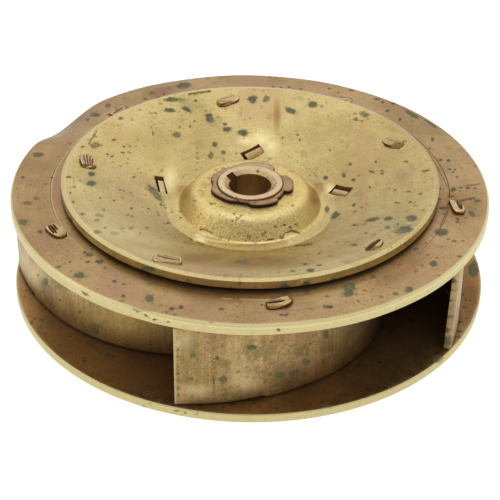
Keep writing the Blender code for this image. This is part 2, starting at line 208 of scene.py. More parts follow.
PLATE_STAINS = (
    (240.5, 114, 2.3, 5), (270, 116.3, 2.5, 4), (301.5, 98.5, 3, 2), (316.5, 125, 2.5, 3),
    (304.4, 154.1, 5, 4), (253.9, 90, 7, 1), (392, 129, 9, 2.5, -25), (341.8, 141, 2, 1.8),
    (347.6, 146, 1.5, 2), (375, 149.3, 2, 1.3), (359, 194.3, 6, 2, 15), (198.2, 143.2, 5, 4),
    (204.8, 185.2, 5, 3), (202.6, 193.3, 4, 3), (261.9, 107.6, 1.5, 2), (182.9, 119.7, 2.5, 1.6),
    (317, 132.3, 1.5, 1.5), (206.3, 162.7, 1.5, 1.5), (348, 262.3, 6, 2.8), (346.8, 241.4, 4, 1.5),
    (329.5, 255.3, 3, 1.5), (286, 263.7, 2.5, 1.2), (173, 252.2, 2, 1.2), (190, 104, 11, 5, -20),
    (213, 120, 7, 5), (402, 228, 11, 5), (412, 167, 3, 3), (402.7, 177, 6, 6), (226, 275.4, 3, 1.5),
)
PLATE_PITS = (
    (113.8, 139.9, 1.8, 1.2), (123.9, 146.5, 1.4, 1.1), (153.1, 133.2, 1.1, 1.8), (97, 220.2, 3.5, 1.2),
    (132, 216.4, 1.6, 1), (82.4, 214, 2.5, 1.4), (195.9, 100.8, 1.7, 1.3), (224.6, 124.3, 2, 1.2),
    (282.6, 137.8, 1.3, 1.2), (350, 163.9, 1.8, 1.4), (382, 171, 2, 0.9), (382, 173.6, 2, 0.9),
    (131.5, 228.2, 2.5, 1.2), (140, 233.2, 1.5, 1.5), (194.5, 200.6, 2, 1.5), (275, 227, 1.5, 1.5),
    (234, 214, 1.6, 1.3), (237.5, 218.5, 2.2, 1.5), (284, 225, 2, 1.2), (290, 227, 1.6, 1.2),
    (296, 224.5, 1.8, 1.2), (292.8, 205.7, 1.5, 1.3), (408.4, 191.8, 2.2, 1), (410.3, 202, 1.8, 1.2),
    (396.9, 202.9, 2.3, 1), (353.9, 204.9, 1.8, 2), (305.3, 264.1, 3, 1.2),
    *alike(2, 1, (122.7, 152.5), (83, 146.8), (168.1, 222.9), (419.9, 194), (319.2, 253.1), (292.8, 271)),
    *alike(1.8, 1, (134.2, 177.1), (105.2, 228), (147.4, 228), (370, 187.2)),
    *alike(1.5, 1.2, (161, 204.7), (131.2, 208.5), (211, 204), (241, 216), (265, 232)),
    *alike(1.5, 1, (114.2, 200.4), (104, 210), (128, 215), (243, 221), (397.5, 224.2), (255, 243)),
    *alike(
        1.2, 1, (151.8, 113.7), (155.6, 113.1), (194.5, 121.4), (179.8, 126.9), (190, 126.2), (298, 135),
        (375.7, 161.6), (85, 160), (120, 190), (300, 140), (330, 150),
    ),
    *alike(2.5, 1, (68.9, 177), (406, 161.6), (354.4, 225), (319.2, 265.2), (147.6, 227.7)),
    *alike(1.3, 1, (74.3, 186.9), (70.5, 192.8), (73.2, 202), (148.3, 208.7), (100, 198)),
    *alike(1.4, 1, (107.5, 154.3), (112, 156.5), (180.6, 217.9), (232.5, 220.5), (395, 190), (366, 233)),
)
PLATE_LINES = (
    (1.2, (189, 94.2), (210.3, 91.2)), (0.9, (96.5, 131), (89, 143.5)), (0.9, (370, 171), (374, 172.5)),
    (0.9, (423, 171.5), (429, 170)), (1.1, (190.5, 239), (192.5, 241)), (0.8, (197, 242), (203, 244.5)),
    (0.9, (296, 246), (311.9, 243.9)), (0.8, (200, 229.5), (204, 229), (208, 231), (212, 234)),
    (1.0, (281, 238), (285, 233.5), (292, 230.5), (299, 233)), (1.8, (281, 237.5), (283, 238)),
    (0.9, (268, 240), (274, 239)),
)
PLATE_FAINT_LINES = (
    (0.9, (164.5, 204.3), (166.7, 214.5), (170.3, 223.3), (177, 233.6)),
    (0.9, (200.4, 246), (218, 247.5), (240, 250.5), (267.9, 249.7), (288.4, 246.8), (296, 246)),
    (0.9, (320, 236), (325, 232), (331, 220), (333.9, 208.7)), (0.8, (381, 192), (391, 187)),
    (1.1, (294, 161), (303, 165), (311, 171), (318, 178), (321, 184)),
    (1.1, (182, 178), (187, 174), (194, 170.5), (202, 168)),
)
PLATE_ROSE = (
    (250, 100, 10, 10), (268, 100, 11, 11), (250, 116, 9, 8), (269, 116, 10, 9), (362, 145, 5, 22),
    (362, 172, 5, 14), (363, 205, 5, 18), (205, 264, 20, 6), (228, 268, 22, 6), (215, 273, 20, 4),
    (130, 196, 10, 8), (402, 176, 7, 7),
)
PLATE_SHADE = (
    (184, 192, 5, 6), (315, 195, 4, 8), (319, 186, 3, 6, 60), (277, 116, 2.5, 10), (200, 258, 20, 4),
    (262, 262, 30, 4),
)
# A broad patch of painted light on the bowl, then broad patches of painted shade.
PLATE_SOFT_PAINTED_LIGHTS = ((128, 234, 34, 12, -25),)
PLATE_SOFT_SHADES = ((375, 185, 60, 45), (210, 160, 20, 16))
# Painted highlights along the fillet at the foot of the dome, at the front.
PLATE_HIGHLIGHT_LINES = (
    (0.9, (196, 235), (206, 239), (220, 241.8), (240, 243.2), (260, 243.2), (275, 241.6), (290, 238.5)),
    (0.9, (198, 239), (203, 241)), (0.9, (193.5, 240), (196.5, 241)),
)
# Painted highlights and reflections round the slots and on the burrs in the valley.
PLATE_PAINTED_LIGHTS = (
    (170, 179, 5, 9), (262, 139, 9, 6), (246, 141, 7, 3), (271, 146, 6, 6), (330, 189, 4, 4),
    (290, 241.5, 2, 1.5), (204, 235, 5, 2), (291, 236, 6, 2), (201, 239.5, 3.5, 2.6),
    (194.5, 240.3, 2, 1.6),
)
RING_SPOTS = (
    (38, 154.9, 5.5, 2.2), (35.8, 198, 2.2, 1.7), (27.3, 203.2, 4.5, 2), (23.4, 222, 4, 3),
    (95.4, 114.7, 4.5, 2), (183.3, 85.8, 6.5, 3.2), (412, 114.5, 7.5, 1.8, -28), (431, 124, 8, 0.9, -33),
    (387.7, 110.9, 2.5, 1.5), (448.3, 160.7, 2.2, 1.2), (440.5, 160.2, 2, 1.2), (453.2, 189.7, 3, 2),
    (477.8, 200.6, 4, 1.6), (472.1, 214.4, 4.5, 2.2, -45), (443.4, 208.3, 4, 1.6), (441.4, 232, 6.5, 3.5),
    (416.1, 248.7, 3, 1.5), (433.3, 263.6, 3.5, 2.5), (349.3, 286.4, 6, 4.5), (348.6, 293, 5, 3.5),
    (409.2, 289.5, 4, 2.5), (395.4, 294, 3, 1.5), (328, 306.8, 4.5, 1.8), (250, 296.9, 4, 1.5),
    (149.5, 298.3, 4, 3.5), (150.4, 283.2, 4, 1.8), (79.2, 275.2, 5.5, 2.5), (89.5, 254.5, 3.5, 2),
    (99.9, 262, 4, 2), (454, 241.2, 2.5, 1.2), (459.7, 256.7, 2.5, 1), (421.8, 265.3, 2, 1),
    (373, 276.8, 3, 2), (221.3, 309, 3, 1.2), (107.9, 105.5, 3, 2),
)
RING_STAINS = (
    (78, 118, 12, 5, 32), (40, 200, 3, 3), (95, 115, 6, 4), (88, 255, 6, 4), (409, 290, 6, 4),
    (79, 275, 8, 4), (435, 130, 12, 4, -35), (349, 290, 9, 8), (23, 222, 6, 5), (149, 298, 6, 5),
    (40, 231.6, 3, 2.5), (150, 262, 9, 4),
)
RING_PITS = (
    (22.8, 177.4, 2, 1.2), (87.8, 119.6, 2, 1.2), (145.3, 99, 1.8, 1), (151.8, 93, 1.8, 1),
    (382.6, 102.1, 1.6, 1.2), (377.4, 99, 3, 1), (393.5, 103.6, 3, 1), (399.8, 119.5, 1.5, 1.5),
    (351, 90.4, 2.5, 1), (345, 99, 6, 1.6, -12), (432.5, 139.2, 1.5, 2), (429.6, 148.4, 1.3, 1),
    (453, 172, 1.3, 1), (455, 169.5, 1.2, 1), (452, 196.6, 2.5, 1), (440.5, 188.6, 1.2, 1.2),
    (457.5, 219, 2, 0.9), (457.5, 222, 2, 0.9), (358.7, 300.9, 1.3, 1), (181, 307.2, 2.5, 2),
    (171.9, 308.4, 3, 2), (123.4, 295.9, 1.8, 1.8), (114.2, 281.3, 2, 1.5), (85, 252.2, 2, 1.5),
    (87.8, 262, 2.5, 1.2), (59.1, 266.9, 1.5, 1.5), (85, 293.6, 3.5, 1.3, -32), (137, 311, 4.5, 1.2, -20),
    (146, 315.5, 3, 1.2, -18), (154.4, 319.4, 2.5, 1), (168, 322, 2, 0.8), (278.7, 330.2, 2.5, 1.5),
    (283, 315, 4, 1), (40.2, 231.6, 2, 1.8), (110, 115, 1.6, 1), (126, 107.3, 1.8, 1.1),
    *alike(1.5, 1, (51.8, 177.4), (329.2, 88.4), (449.7, 169), (475, 188.5), (287.8, 314), (262, 305)),
    *alike(
        1.4, 1, (158, 97), (164, 94), (273, 87), (281, 88), (289, 87), (301, 89), (456.6, 177),
        (440, 199.5), (100, 250), (92, 249), (70, 262), (105, 268), (415, 272), (428, 255),
    ),
    *alike(
        2, 1, (143, 103.5), (461, 187.7), (468, 188), (330.6, 306.7), (326.9, 296.3), (271.8, 297.1),
        (211, 322.7), (288.4, 334.8),
    ),
)
RING_LINES = (
    (1.3, (459.5, 201), (474, 198)), (1.0, (337, 99), (351.6, 99)),
    (0.8, (427.3, 151.8), (437, 166), (446.9, 186.3)), (0.8, (448.6, 193.2), (446, 212), (440.5, 226.5)),
    (0.8, (466, 186), (480, 184)),
)
RING_ROSE = (
    (108, 105.5, 5, 4), (110, 95, 30, 8, 25), (60, 190, 12, 20), (45, 240, 10, 14), (120, 285, 22, 10, -25),
    (200, 310, 25, 5), (255, 83, 22, 5), (175, 90, 20, 6), (430, 210, 6, 14), (70, 150, 14, 8, 40),
)
RING_SHADE = (
    (170, 285, 30, 5, -18), (230, 296, 30, 4), (120, 262, 16, 4, -30), (160, 92, 12, 3, 15),
    (400, 270, 20, 6, 30), (455, 205, 18, 12),
)
RING_SOFT_SHADES = ((45, 215, 25, 60),)
RING_PALE = ((0.8, (223, 298.6), (232, 298.8)), (0.8, (240, 299.3), (269.5, 299.8)))
LOWER_SPOTS = (
    (68.9, 335.5, 4, 1.8, -25), (110.8, 355.1, 5, 2.2, -15), (84.4, 358, 3, 1.2), (135.5, 388.4, 4, 1.5),
    (148, 393.6, 4.5, 1.8), (31, 323, 2, 2), (159, 401.6, 2.5, 1.5), (325.7, 406, 5, 2),
    (365.6, 362.3, 5, 3), (437.9, 358.9, 5, 4), (473.5, 269.4, 5, 7), (475.8, 264.8, 2.5, 2),
    (459.7, 331.4, 2, 1.5), (459.1, 337, 2, 1.5), (342.4, 387, 1.6, 1.5),
)
LOWER_PITS = (
    (91.8, 344.8, 3, 1.4), (338, 391, 1.4, 1.2), (315.4, 396.8, 1.4, 1), (177, 410.5, 3, 1),
    (186, 412, 2.5, 1), (197, 413.5, 3, 1), (462, 294, 1.6, 1), (466, 300, 1.6, 1), (463, 307, 1.4, 1),
    (469, 312, 1.6, 1), (459.7, 322.2, 3, 1), (104, 350, 1.5, 1), (120, 352, 1.5, 1), (60, 345, 1.4, 1),
    *alike(2, 1, (96, 347), (88, 342), (144.6, 406.2), (150.4, 403.9)),
)
LOWER_SHADE = ((472, 290, 14, 40, 12),)
# Marks on the outer faces of the vanes that the photograph shows, by number of the vane.
VANE_SPOTS = {
    1: (
        (223.5, 379.5, 4, 4), (276.4, 385.3, 3, 2.4), (252.2, 347.4, 4.5, 2.5), (178.8, 388.2, 2, 2),
        (178.8, 395, 1.3, 2), (192.5, 355.4, 3, 2.2), (305.6, 361.7, 4, 3.2), (325.7, 334.8, 3, 4),
        (335, 357, 2, 3), (294.7, 372.7, 5, 3), (279.8, 375, 5, 3),
    ),
    2: (
        (448, 330, 4, 3), (447.5, 340, 6, 5), (452.5, 279.7, 4.5, 3.5), (450, 317, 4, 2.6),
        (451.5, 300, 3.5, 1.8), (455, 250, 4, 9),
    ),
    5: ((44.8, 282, 3.5, 3.5), (95, 332, 5, 3), (89.5, 340.6, 3, 2)),
}
VANE_STAINS = {
    1: (
        (266, 356, 7, 4), (225.8, 363.5, 6, 6), (290, 372, 14, 8), (248, 350, 9, 5), (325, 345, 8, 12),
        (300, 352, 10, 6), (240, 395, 24, 5), (190, 345, 10, 8), (278, 374, 22, 12), (266, 352, 16, 9),
    ),
    5: ((95, 328, 8, 4), (60, 285, 10, 5), (50, 300, 6, 8)),
}
VANE_PITS = {
    1: (
        (306.8, 354.3, 1.4, 1.3), (301, 344, 1.3, 1), (305, 345, 1.2, 1), (310, 344, 1.2, 1),
        (290, 382, 2.5, 1.5), (217.8, 357.7, 2, 2), (238, 372, 1.5, 1.2), (205, 366, 1.5, 1.2),
        (262, 371, 1.5, 1), (200, 401, 2, 1), (176.5, 350, 1.2, 2), (176.8, 357, 1.2, 1.5),
        (176.5, 366, 1.2, 2), (177, 374, 1.2, 1.5), (177, 381, 1.2, 1.4), (178, 338, 1.2, 1.5),
        (183, 371, 1.3, 1.3),
    ),
    2: ((453.5, 300, 1.3, 1.3), (449, 322, 1.3, 1.6), (452, 290, 1.3, 1.3)),
    5: (
        (60, 300, 1.5, 1.2), (80, 312, 1.5, 1.2), (120, 340, 1.5, 1), (150, 345, 1.5, 1),
        (38, 275, 1.5, 1.2),
    ),
}
VANE_LINES = {
    1: ((0.8, (214.4, 347), (214.4, 370)), (0.8, (214, 376), (214.5, 398))),
    5: ((0.8, (135, 335), (135.5, 350)),),
}
# Painted light on the vanes' faces: pale patches of painted reflection, then a golden patch of painted light
# on the fifth vane.
VANE_PAINTED_LIGHT = {
    1: ((193.7, 391, 12, 5), (184, 340, 8, 8), (245, 385, 10, 8)),
    5: ((24, 262, 5, 14), (34, 275, 8, 10)),
}
VANE_PAINTED_GOLD_LIGHT = {5: ((122, 325, 36, 14),)}
# The clearance under each vane, in mm, at turns from its tip in degrees.
VANE_GAPS = {
    1: ((0, 0.4), (12, 0.8), (20, 1.3), (20.5, 0.4), (32, 0.8), (33, 0.5), (40, 0.6), (130, 0.5)),
    5: ((0, 0.6), (14, 0.9), (15, 0.4), (22.5, 0.8), (23.5, 0.35), (60, 0.6), (130, 0.5)),
}
PLAIN_GAP = ((0, 0.4), (60, 0.7), (130, 0.5))
# The radius at which the painted shade on a vane's face starts.
PLAIN_SHADE_START, VANE_SHADE_STARTS = 0.0840, {5: 0.0745}
VANE_RAKES = {2: 3.0 * MM}  # how far the lower corner of a vane's tip stands out
PLAIN_END_WEAR_AND_HIGHLIGHT, VANE_END_WEAR_AND_HIGHLIGHTS = 0.7, {2: 0.3}  # how bare the end of a vane is, and how much painted highlight it takes

# Nicks in the rims: the pixel, and the length and depth in mm, which is negative for a bump.
RING_NICKS = (((85, 296), 4, 0.5), ((140, 315), 6, 0.5), ((154, 321), 3, 0.3), ((278.5, 331), 3, 0.35))
PLATE_NICKS = (((304, 280.5), 2.4, 1.0), ((300.5, 280.3), 1.6, -0.3))

# The outline of the collar's upper face, in pixels of the photograph.
COLLAR_OUTLINE = (
    (280.7, 174.9), (287, 174), (291.5, 177.4), (293.6, 183.2), (292.4, 188.1), (288.6, 189.8),
    (284.1, 189.4), (282, 193.1), (277.4, 196.6), (278.3, 198.4), (277, 200), (270.4, 202.1),
    (258.8, 203.6), (251.3, 203.2), (247.6, 201.2), (238, 199.6), (228.9, 198.9), (221.5, 195.7),
    (214.8, 192), (210.7, 188.1), (211.9, 184.8), (212.8, 180.7), (210.7, 175.7), (214.8, 171.6),
    (221.5, 168.7), (229.8, 166.2), (238, 163.7), (246.3, 161.6), (254.6, 161.2), (265.4, 162.4),
    (272, 163.7), (275, 166.6), (273.7, 169.5), (276.2, 171.6),
)

# One hammered head, in mm: where it sits from its tab's place, its size, its chisel cuts
# (x, y, x, y, width, depth), its bevels (direction in degrees, distance out, slope), how square its
# outline is, and the share of the slope under it that its top follows.
Head = namedtuple(
    "Head", "along across length width height cuts bevels power follow", defaults=((), (), 3.0, 1.0)
)
RING_HEADS = (
    Head(
        0, 0, 9.6, 5.4, 1.25,
        [(-4.3, 0.6, 1.2, -0.6, 0.9, 0.9)],
        [(245, 1.4, 0.5), (90, 1.4, 0.5), (0, 3.4, 0.4)],
        2.4,
    ),
    Head(
        -0.9, 0.7, 10.2, 4.8, 1.2,
        [(3.8, -1.0, -3.2, -0.7, 1.0, 0.8)],
        [(310, 0.9, 0.7), (180, 4.2, 0.5)],
        3.2,
    ),
    Head(-0.4, 2.0, 9.0, 4.6, 0.35, [(-3, 0.2, 3, -0.2, 0.6, 0.3)]),
    Head(2.0, 0.5, 9.0, 4.6, 0.35, [(-3, 0.2, 3, -0.2, 0.6, 0.3)]),
    Head(
        2.9, -0.4, 9.6, 5.0, 1.15,
        [
            (-3.8, -0.6, 1.5, -2.0, 0.5, 0.6), (-3.8, 0.3, 2.1, -1.3, 0.5, 0.6),
            (-3.4, 1.3, 0.6, 0.1, 0.5, 0.5),
        ],
        [(0, 3.0, 0.4), (180, 3.9, 0.5)],
    ),
)
PLATE_HEADS = (
    Head(-0.7, -0.3, 9.0, 5.6, 1.1, [(-3.9, 1.0, 2.9, -0.9, 1.3, 0.7)], [(204.6, 1.4, 0.5)], 2.3, 0.6),
    Head(0.1, 0.35, 9.4, 4.8, 1.0, [(-3.5, -0.3, 3.0, -0.1, 0.4, 0.15)], [(132.6, 0.9, 0.5)], 2.6),
    Head(1.0, 0.6, 9.5, 5.0, 0.9, [(-3.2, -0.9, 3.4, -1.4, 0.35, 0.15)], [(60.6, 0.5, 0.5)], 2.8),
    Head(
        1.0, -0.4, 9.0, 6.2, 1.0,
        [
            (-2.6, -1.7, 3.4, -1.2, 0.35, 0.3), (-3.2, -0.5, 3.6, -0.4, 0.35, 0.3),
            (-2.4, 0.8, 3.2, 0.5, 0.35, 0.3), (-1.0, 1.7, 3.0, 1.2, 0.3, 0.3),
        ],
        [(0, 2.6, 0.8), (180, 3.6, 0.5)],
    ),
    Head(
        1.3, -1.3, 9.8, 5.8, 1.0,
        [(-3.4, 0.9, 4.2, -0.6, 0.7, 0.5), (-1.6, 1.9, 4.2, 0.9, 0.4, 0.3)],
        [(276.6, 1.4, 0.45)],
        5.0, 0.35,
    ),
)
# The slot of each vane's inner tab in the plate, in mm: where it sits from its tab's place and its
# size, then where the tab inside it sits, its size and depth, how far one half of its end is painted
# brown as shade, and how much painted highlight its top takes. The last two are closed seams.
Slot = namedtuple(
    "Slot",
    "along across length width tab_along tab_across tab_length tab_width tab_depth shade brightness",
    defaults=(4.6, 0.5, 0, 0, 4.5, 0.4, 0.1, 0, 0),
)
INNER_SLOTS = (
    Slot(-0.9, 1.3, 8.3, 5.2, 0.4, 1.0, 7.4, 3.0, 0.6, 0.9, 0.2),
    Slot(0.4, -0.3, 8.8, 4.3, -0.5, 1.1, 7.6, 3.6, 0.2, 0.6, 0),
    Slot(1.3, -0.3, 9.5, 3.6, 0.8, 0.55, 7.5, 2.4, 0.6, 0.2, 0.4),
    Slot(1.1, -1.5),
    Slot(0, 0),
)


def camera_axes():
    """The camera's place and its X, Y and Z axes."""
    back = Vector((0, -cos(CAMERA_ELEVATION), sin(CAMERA_ELEVATION)))
    right = Vector((1, 0, 0))
    up = back.cross(right)
    x = right * cos(CAMERA_ROLL) + up * sin(CAMERA_ROLL)
    y = up * cos(CAMERA_ROLL) - right * sin(CAMERA_ROLL)
    return CAMERA_TARGET + back * CAMERA_DISTANCE, x, y, back


def link(name, data):
    made = bpy.data.objects.new(name, data)
    bpy.context.scene.collection.objects.link(made)
    return made


def make_camera():
    place, x, y, back = camera_axes()
    data = bpy.data.cameras.new("camera")
    data.sensor_width = SENSOR_WIDTH
    data.lens = SENSOR_WIDTH * FOCAL_PIXELS / PHOTO_SIDE
    camera = link("camera", data)
    camera.matrix_world = Matrix.Translation(place) @ Matrix((x, y, back)).transposed().to_4x4()
    bpy.context.scene.camera = camera


def on_level(px, py, height):
    """The point at this height that the photograph shows at a pixel."""
    place, x, y, back = camera_axes()
    half = PHOTO_SIDE / 2
    direction = x * ((px - half) / FOCAL_PIXELS) - y * ((py - half) / FOCAL_PIXELS) - back
    return place + direction * ((height - place.z) / direction.z)


def to_pixels(points):
    """Where the photograph shows an array of points, and how far each is from the camera."""
    place, x, y, back = (np.array(v) for v in camera_axes())
    away = points - place
    depth = -(away @ back)
    half = PHOTO_SIDE / 2
    return half + FOCAL_PIXELS * (away @ x) / depth, half - FOCAL_PIXELS * (away @ y) / depth, depth


def ramp(values, low, high):
    """How far values have come from low to high, from 0 to 1."""
    return np.clip((values - low) / (high - low), 0, 1)


def fall(values, low, high):
    """1 where values are below low, and 0 from high on."""
    return ramp(-values, -high, -low)


def bell(distance, reach):
    """1 where the distance is 0, dying out over this reach."""
    return np.exp(-((distance / reach) ** 2))


def ripple(x, y, shortest, longest, seed, waves=14):
    """A smooth uneven field of about unit height over the plane."""
    own = np.random.default_rng(seed)
    total = np.zeros(np.broadcast(x, y).shape)
    for _ in range(waves):
        length = own.uniform(shortest, longest)
        turn, phase = own.uniform(0, 2 * pi, 2)
        total += np.sin(2 * pi / length * (x * cos(turn) + y * sin(turn)) + phase)
    return total / np.sqrt(waves / 2)


def corner_arc(before, corner, after, fillet, step):
    """The points of a rounded corner of a flat outline."""
    here = Vector(corner)
    back = (Vector(before) - here).normalized()
    ahead = (Vector(after) - here).normalized()
    if fillet <= 0 or back.dot(ahead) < -0.9999:
        return [here]
    half_angle = back.angle(ahead) / 2
    room = min((Vector(before) - here).length, (Vector(after) - here).length) / 2.01
    reach = min(fillet / tan(half_angle), room)
    radius = reach * tan(half_angle)
    middle = here + (back + ahead).normalized() * (radius / sin(half_angle))
    first, last = here + back * reach, here + ahead * reach
    spread = (first - middle).angle_signed(last - middle)
    steps = 1 + ceil(abs(spread) / step)
    return [middle + Matrix.Rotation(-spread * i / steps, 2) @ (first - middle) for i in range(steps + 1)]


def rounded_line(corners, spacing, closed=True, arc_step=radians(15)):
    """An outline through (a, b, fillet) corners as an array. Its straight runs are divided by the
    spacing, which is one number or one for the run after each corner."""
    count = len(corners)
    spacings = spacing if isinstance(spacing, tuple) else (spacing,) * count
    line = []
    for i, corner in enumerate(corners):
        if not closed and i in (0, count - 1):
            line.append((Vector(corner[:2]), spacings[i]))
        else:
            before, after = corners[i - 1][:2], corners[(i + 1) % count][:2]
            arc = corner_arc(before, corner[:2], after, corner[2], arc_step)
            line += [(point, spacings[i]) for point in arc]
    following = line[1:] + line[:1] if closed else line[1:]
    points = []
    for (a, apart), (b, _) in zip(line, following):
        parts = max(1, ceil((b - a).length / apart))
        points += [a.lerp(b, k / parts) for k in range(parts)]
    if not closed:
        points.append(line[-1][0])
    return np.array(points)


def make_mesh(name, points, faces, sharp=SHARP_EDGE):
    """An object from points and faces, smooth except at edges sharper than this angle."""
    mesh = bpy.data.meshes.new(name)
    mesh.from_pydata(points.reshape(-1, 3).tolist(), [], [list(face) for face in faces])
    mesh.shade_smooth()
    mesh.set_sharp_from_angle(angle=sharp)
    return link(name, mesh)


def loop_faces(rings, steps, closed=True):
    """Quads between rings of points, each ring closed, and the last joined to the first if closed."""
    first = np.arange(rings if closed else rings - 1)[:, None]
    ring, following = first * steps, (first + 1) % rings * steps
    i = np.arange(steps)[None, :]
    j = (i + 1) % steps
    return np.stack([ring + i, following + i, following + j, ring + j], axis=-1).reshape(-1, 4).tolist()


def make_closed(name, points):
    """A piece that closes both ways, from an array of its sections."""
    return make_mesh(name, points, loop_faces(*points.shape[:2]))


def capped_faces(rings, steps):
    """The faces of a solid from rings of points, from its bottom up to its top."""
    faces = [face[::-1] for face in loop_faces(rings, steps, closed=False)]
    return faces + [list(reversed(range(steps))), [(rings - 1) * steps + k for k in range(steps)]]


def turned_points(outline, steps):
    """The points of a turned solid: outline is an array of (radius, height)."""
    angle = np.arange(steps) * (2 * pi / steps)
    radius, height = outline[:, 0][:, None], outline[:, 1][:, None]
    return np.stack([radius * np.cos(angle), radius * np.sin(angle), height + 0 * angle], axis=-1)


def let_sag(points, waves, seed, share=1.0):
    """Lets a plate lie unevenly."""
    depth, shortest, longest = waves
    points[..., 2] -= depth * share * (1 + ripple(points[..., 0], points[..., 1], shortest, longest, seed))


def bend_rim(points):
    """Knocks the rim of the ring down over a short arc."""
    x, y = points[..., 0], points[..., 1]
    turn = (np.arctan2(y, x) - BEND_ANGLE + pi) % (2 * pi) - pi
    half_width = np.where(turn > 0, BEND_HALF_WIDTHS[1], BEND_HALF_WIDTHS[0])
    around = np.cos(pi / 2 * np.clip(turn / half_width, -1, 1)) ** 2
    outwards = np.clip((np.hypot(x, y) - BEND_START_RADIUS) / (RING_RADIUS - BEND_START_RADIUS), 0, None)
    points[..., 2] -= BEND_DEPTH * around * outwards**BEND_POWER


def nick_rim(points, nicks, level, rim_radius):
    """Presses small nicks into a rim. Each is (pixel, length, depth), in mm."""
    near_rim = ramp(np.hypot(points[..., 0], points[..., 1]), rim_radius - 3 * MM, rim_radius)
    for pixel, length, depth in nicks:
        away = np.linalg.norm(points - np.array(on_level(*pixel, level)), axis=-1)
        share = bell(away, length * MM / 2) * near_rim
        points[..., :2] *= 1 - (share * depth * MM / rim_radius)[..., None]


def vane_radius(turn):
    return VANE_TIP_RADIUS - VANE_SPIRAL * turn


def vane_lean(turn):
    """How far the foot of a vane stands out at this turn."""
    return VANE_LEAN * np.sin(pi * turn / VANE_SWEEP)


def vane_point(turn, lean=0.0):
    angle = VANE_TIP_ANGLE + turn
    radius = vane_radius(turn) + lean
    return Vector((radius * cos(angle), radius * sin(angle)))


def vane_heading(turn):
    """The angle along which the vane runs inwards at this turn."""
    angle = VANE_TIP_ANGLE + turn
    radius = vane_radius(turn)
    along_x = -radius * sin(angle) - VANE_SPIRAL * cos(angle)
    along_y = radius * cos(angle) - VANE_SPIRAL * sin(angle)
    return atan2(along_y, along_x)


def tab_matrix(turn, height=0.0, slope=0.0, vane=0, along=0.0, across=0.0):
    """A frame with X along the vane and Z square to a surface that rises outwards by this slope.
    Along and across move it from the tab's place, in mm."""
    point = vane_point(turn)
    outwards = VANE_TIP_ANGLE + turn
    tilt = Matrix.Rotation(-atan2(slope, 1), 4, Vector((-sin(outwards), cos(outwards), 0)))
    place = Matrix.Translation((point.x, point.y, height))
    heading = Matrix.Rotation(vane_heading(turn), 4, "Z")
    spin = Matrix.Rotation(vane * VANE_PITCH, 4, "Z")
    return spin @ place @ tilt @ heading @ Matrix.Translation((along * MM, across * MM, 0))


def slot_matrix(vane):
    slot = INNER_SLOTS[vane]
    return tab_matrix(INNER_TAB_TURN, vane=vane, along=slot.along, across=slot.across)


def placed(points, matrix):
    matrix = np.array(matrix)
    return points @ matrix[:3, :3].T + matrix[:3, 3]


def height_on(line, radius):
    """(height, slope) of a line of (radius, height) points that runs outwards."""
    i = int(np.clip(np.searchsorted(line[:, 0], radius), 1, len(line) - 1))
    (r0, z0), (r1, z1) = line[i - 1], line[i]
    slope = (z1 - z0) / (r1 - r0)
    return z0 + slope * (radius - r0), slope


def rectangle(length, width):
    x, y = length / 2, width / 2
    return [(-x, -y), (x, -y), (x, y), (-x, y)]


def box_part(matrix, length, width, bottom, top):
    """The points and faces of a box about the Z axis of a matrix."""
    points = np.array([(*corner, z) for z in (bottom, top) for corner in rectangle(length, width)])
    sides = [(i, (i + 1) % 4, (i + 1) % 4 + 4, i + 4) for i in range(4)]
    return placed(points, matrix), [(3, 2, 1, 0), (4, 5, 6, 7), *sides]


def join_parts(parts):
    """Several (points, faces) as one array of points and one list of faces."""
    points, faces, start = [], [], 0
    for own_points, own_faces in parts:
        points.append(own_points)
        faces += [[start + k for k in face] for face in own_faces]
        start += len(own_points)
    return np.concatenate(points), faces


def cut(piece, parts):
    """Takes boxes out of a piece for good."""
    cutter = make_mesh("cutter", *join_parts(parts))
    cutter.hide_render = True
    modifier = piece.modifiers.new("cut", "BOOLEAN")
    modifier.operation = "DIFFERENCE"
    modifier.solver = "MANIFOLD"
    modifier.object = cutter
    graph = bpy.context.evaluated_depsgraph_get()
    mesh = bpy.data.meshes.new_from_object(piece.evaluated_get(graph))
    piece.modifiers.clear()
    piece.data = mesh
    bpy.data.objects.remove(cutter, do_unlink=True)
    mesh.shade_smooth()
    mesh.set_sharp_from_angle(angle=SHARP_EDGE)


def tab_slot(turn, vane, bottom, top, along=0.0, across=0.0):
    """The cutter of one slot that fits a tab."""
    length, width = TAB_LENGTH + 2 * SLOT_CLEARANCE, TAB_THICKNESS + 2 * SLOT_CLEARANCE
    matrix = tab_matrix(turn, vane=vane, along=along, across=across)
    return box_part(matrix, length, width, bottom - CUT_MARGIN, top + CUT_MARGIN)


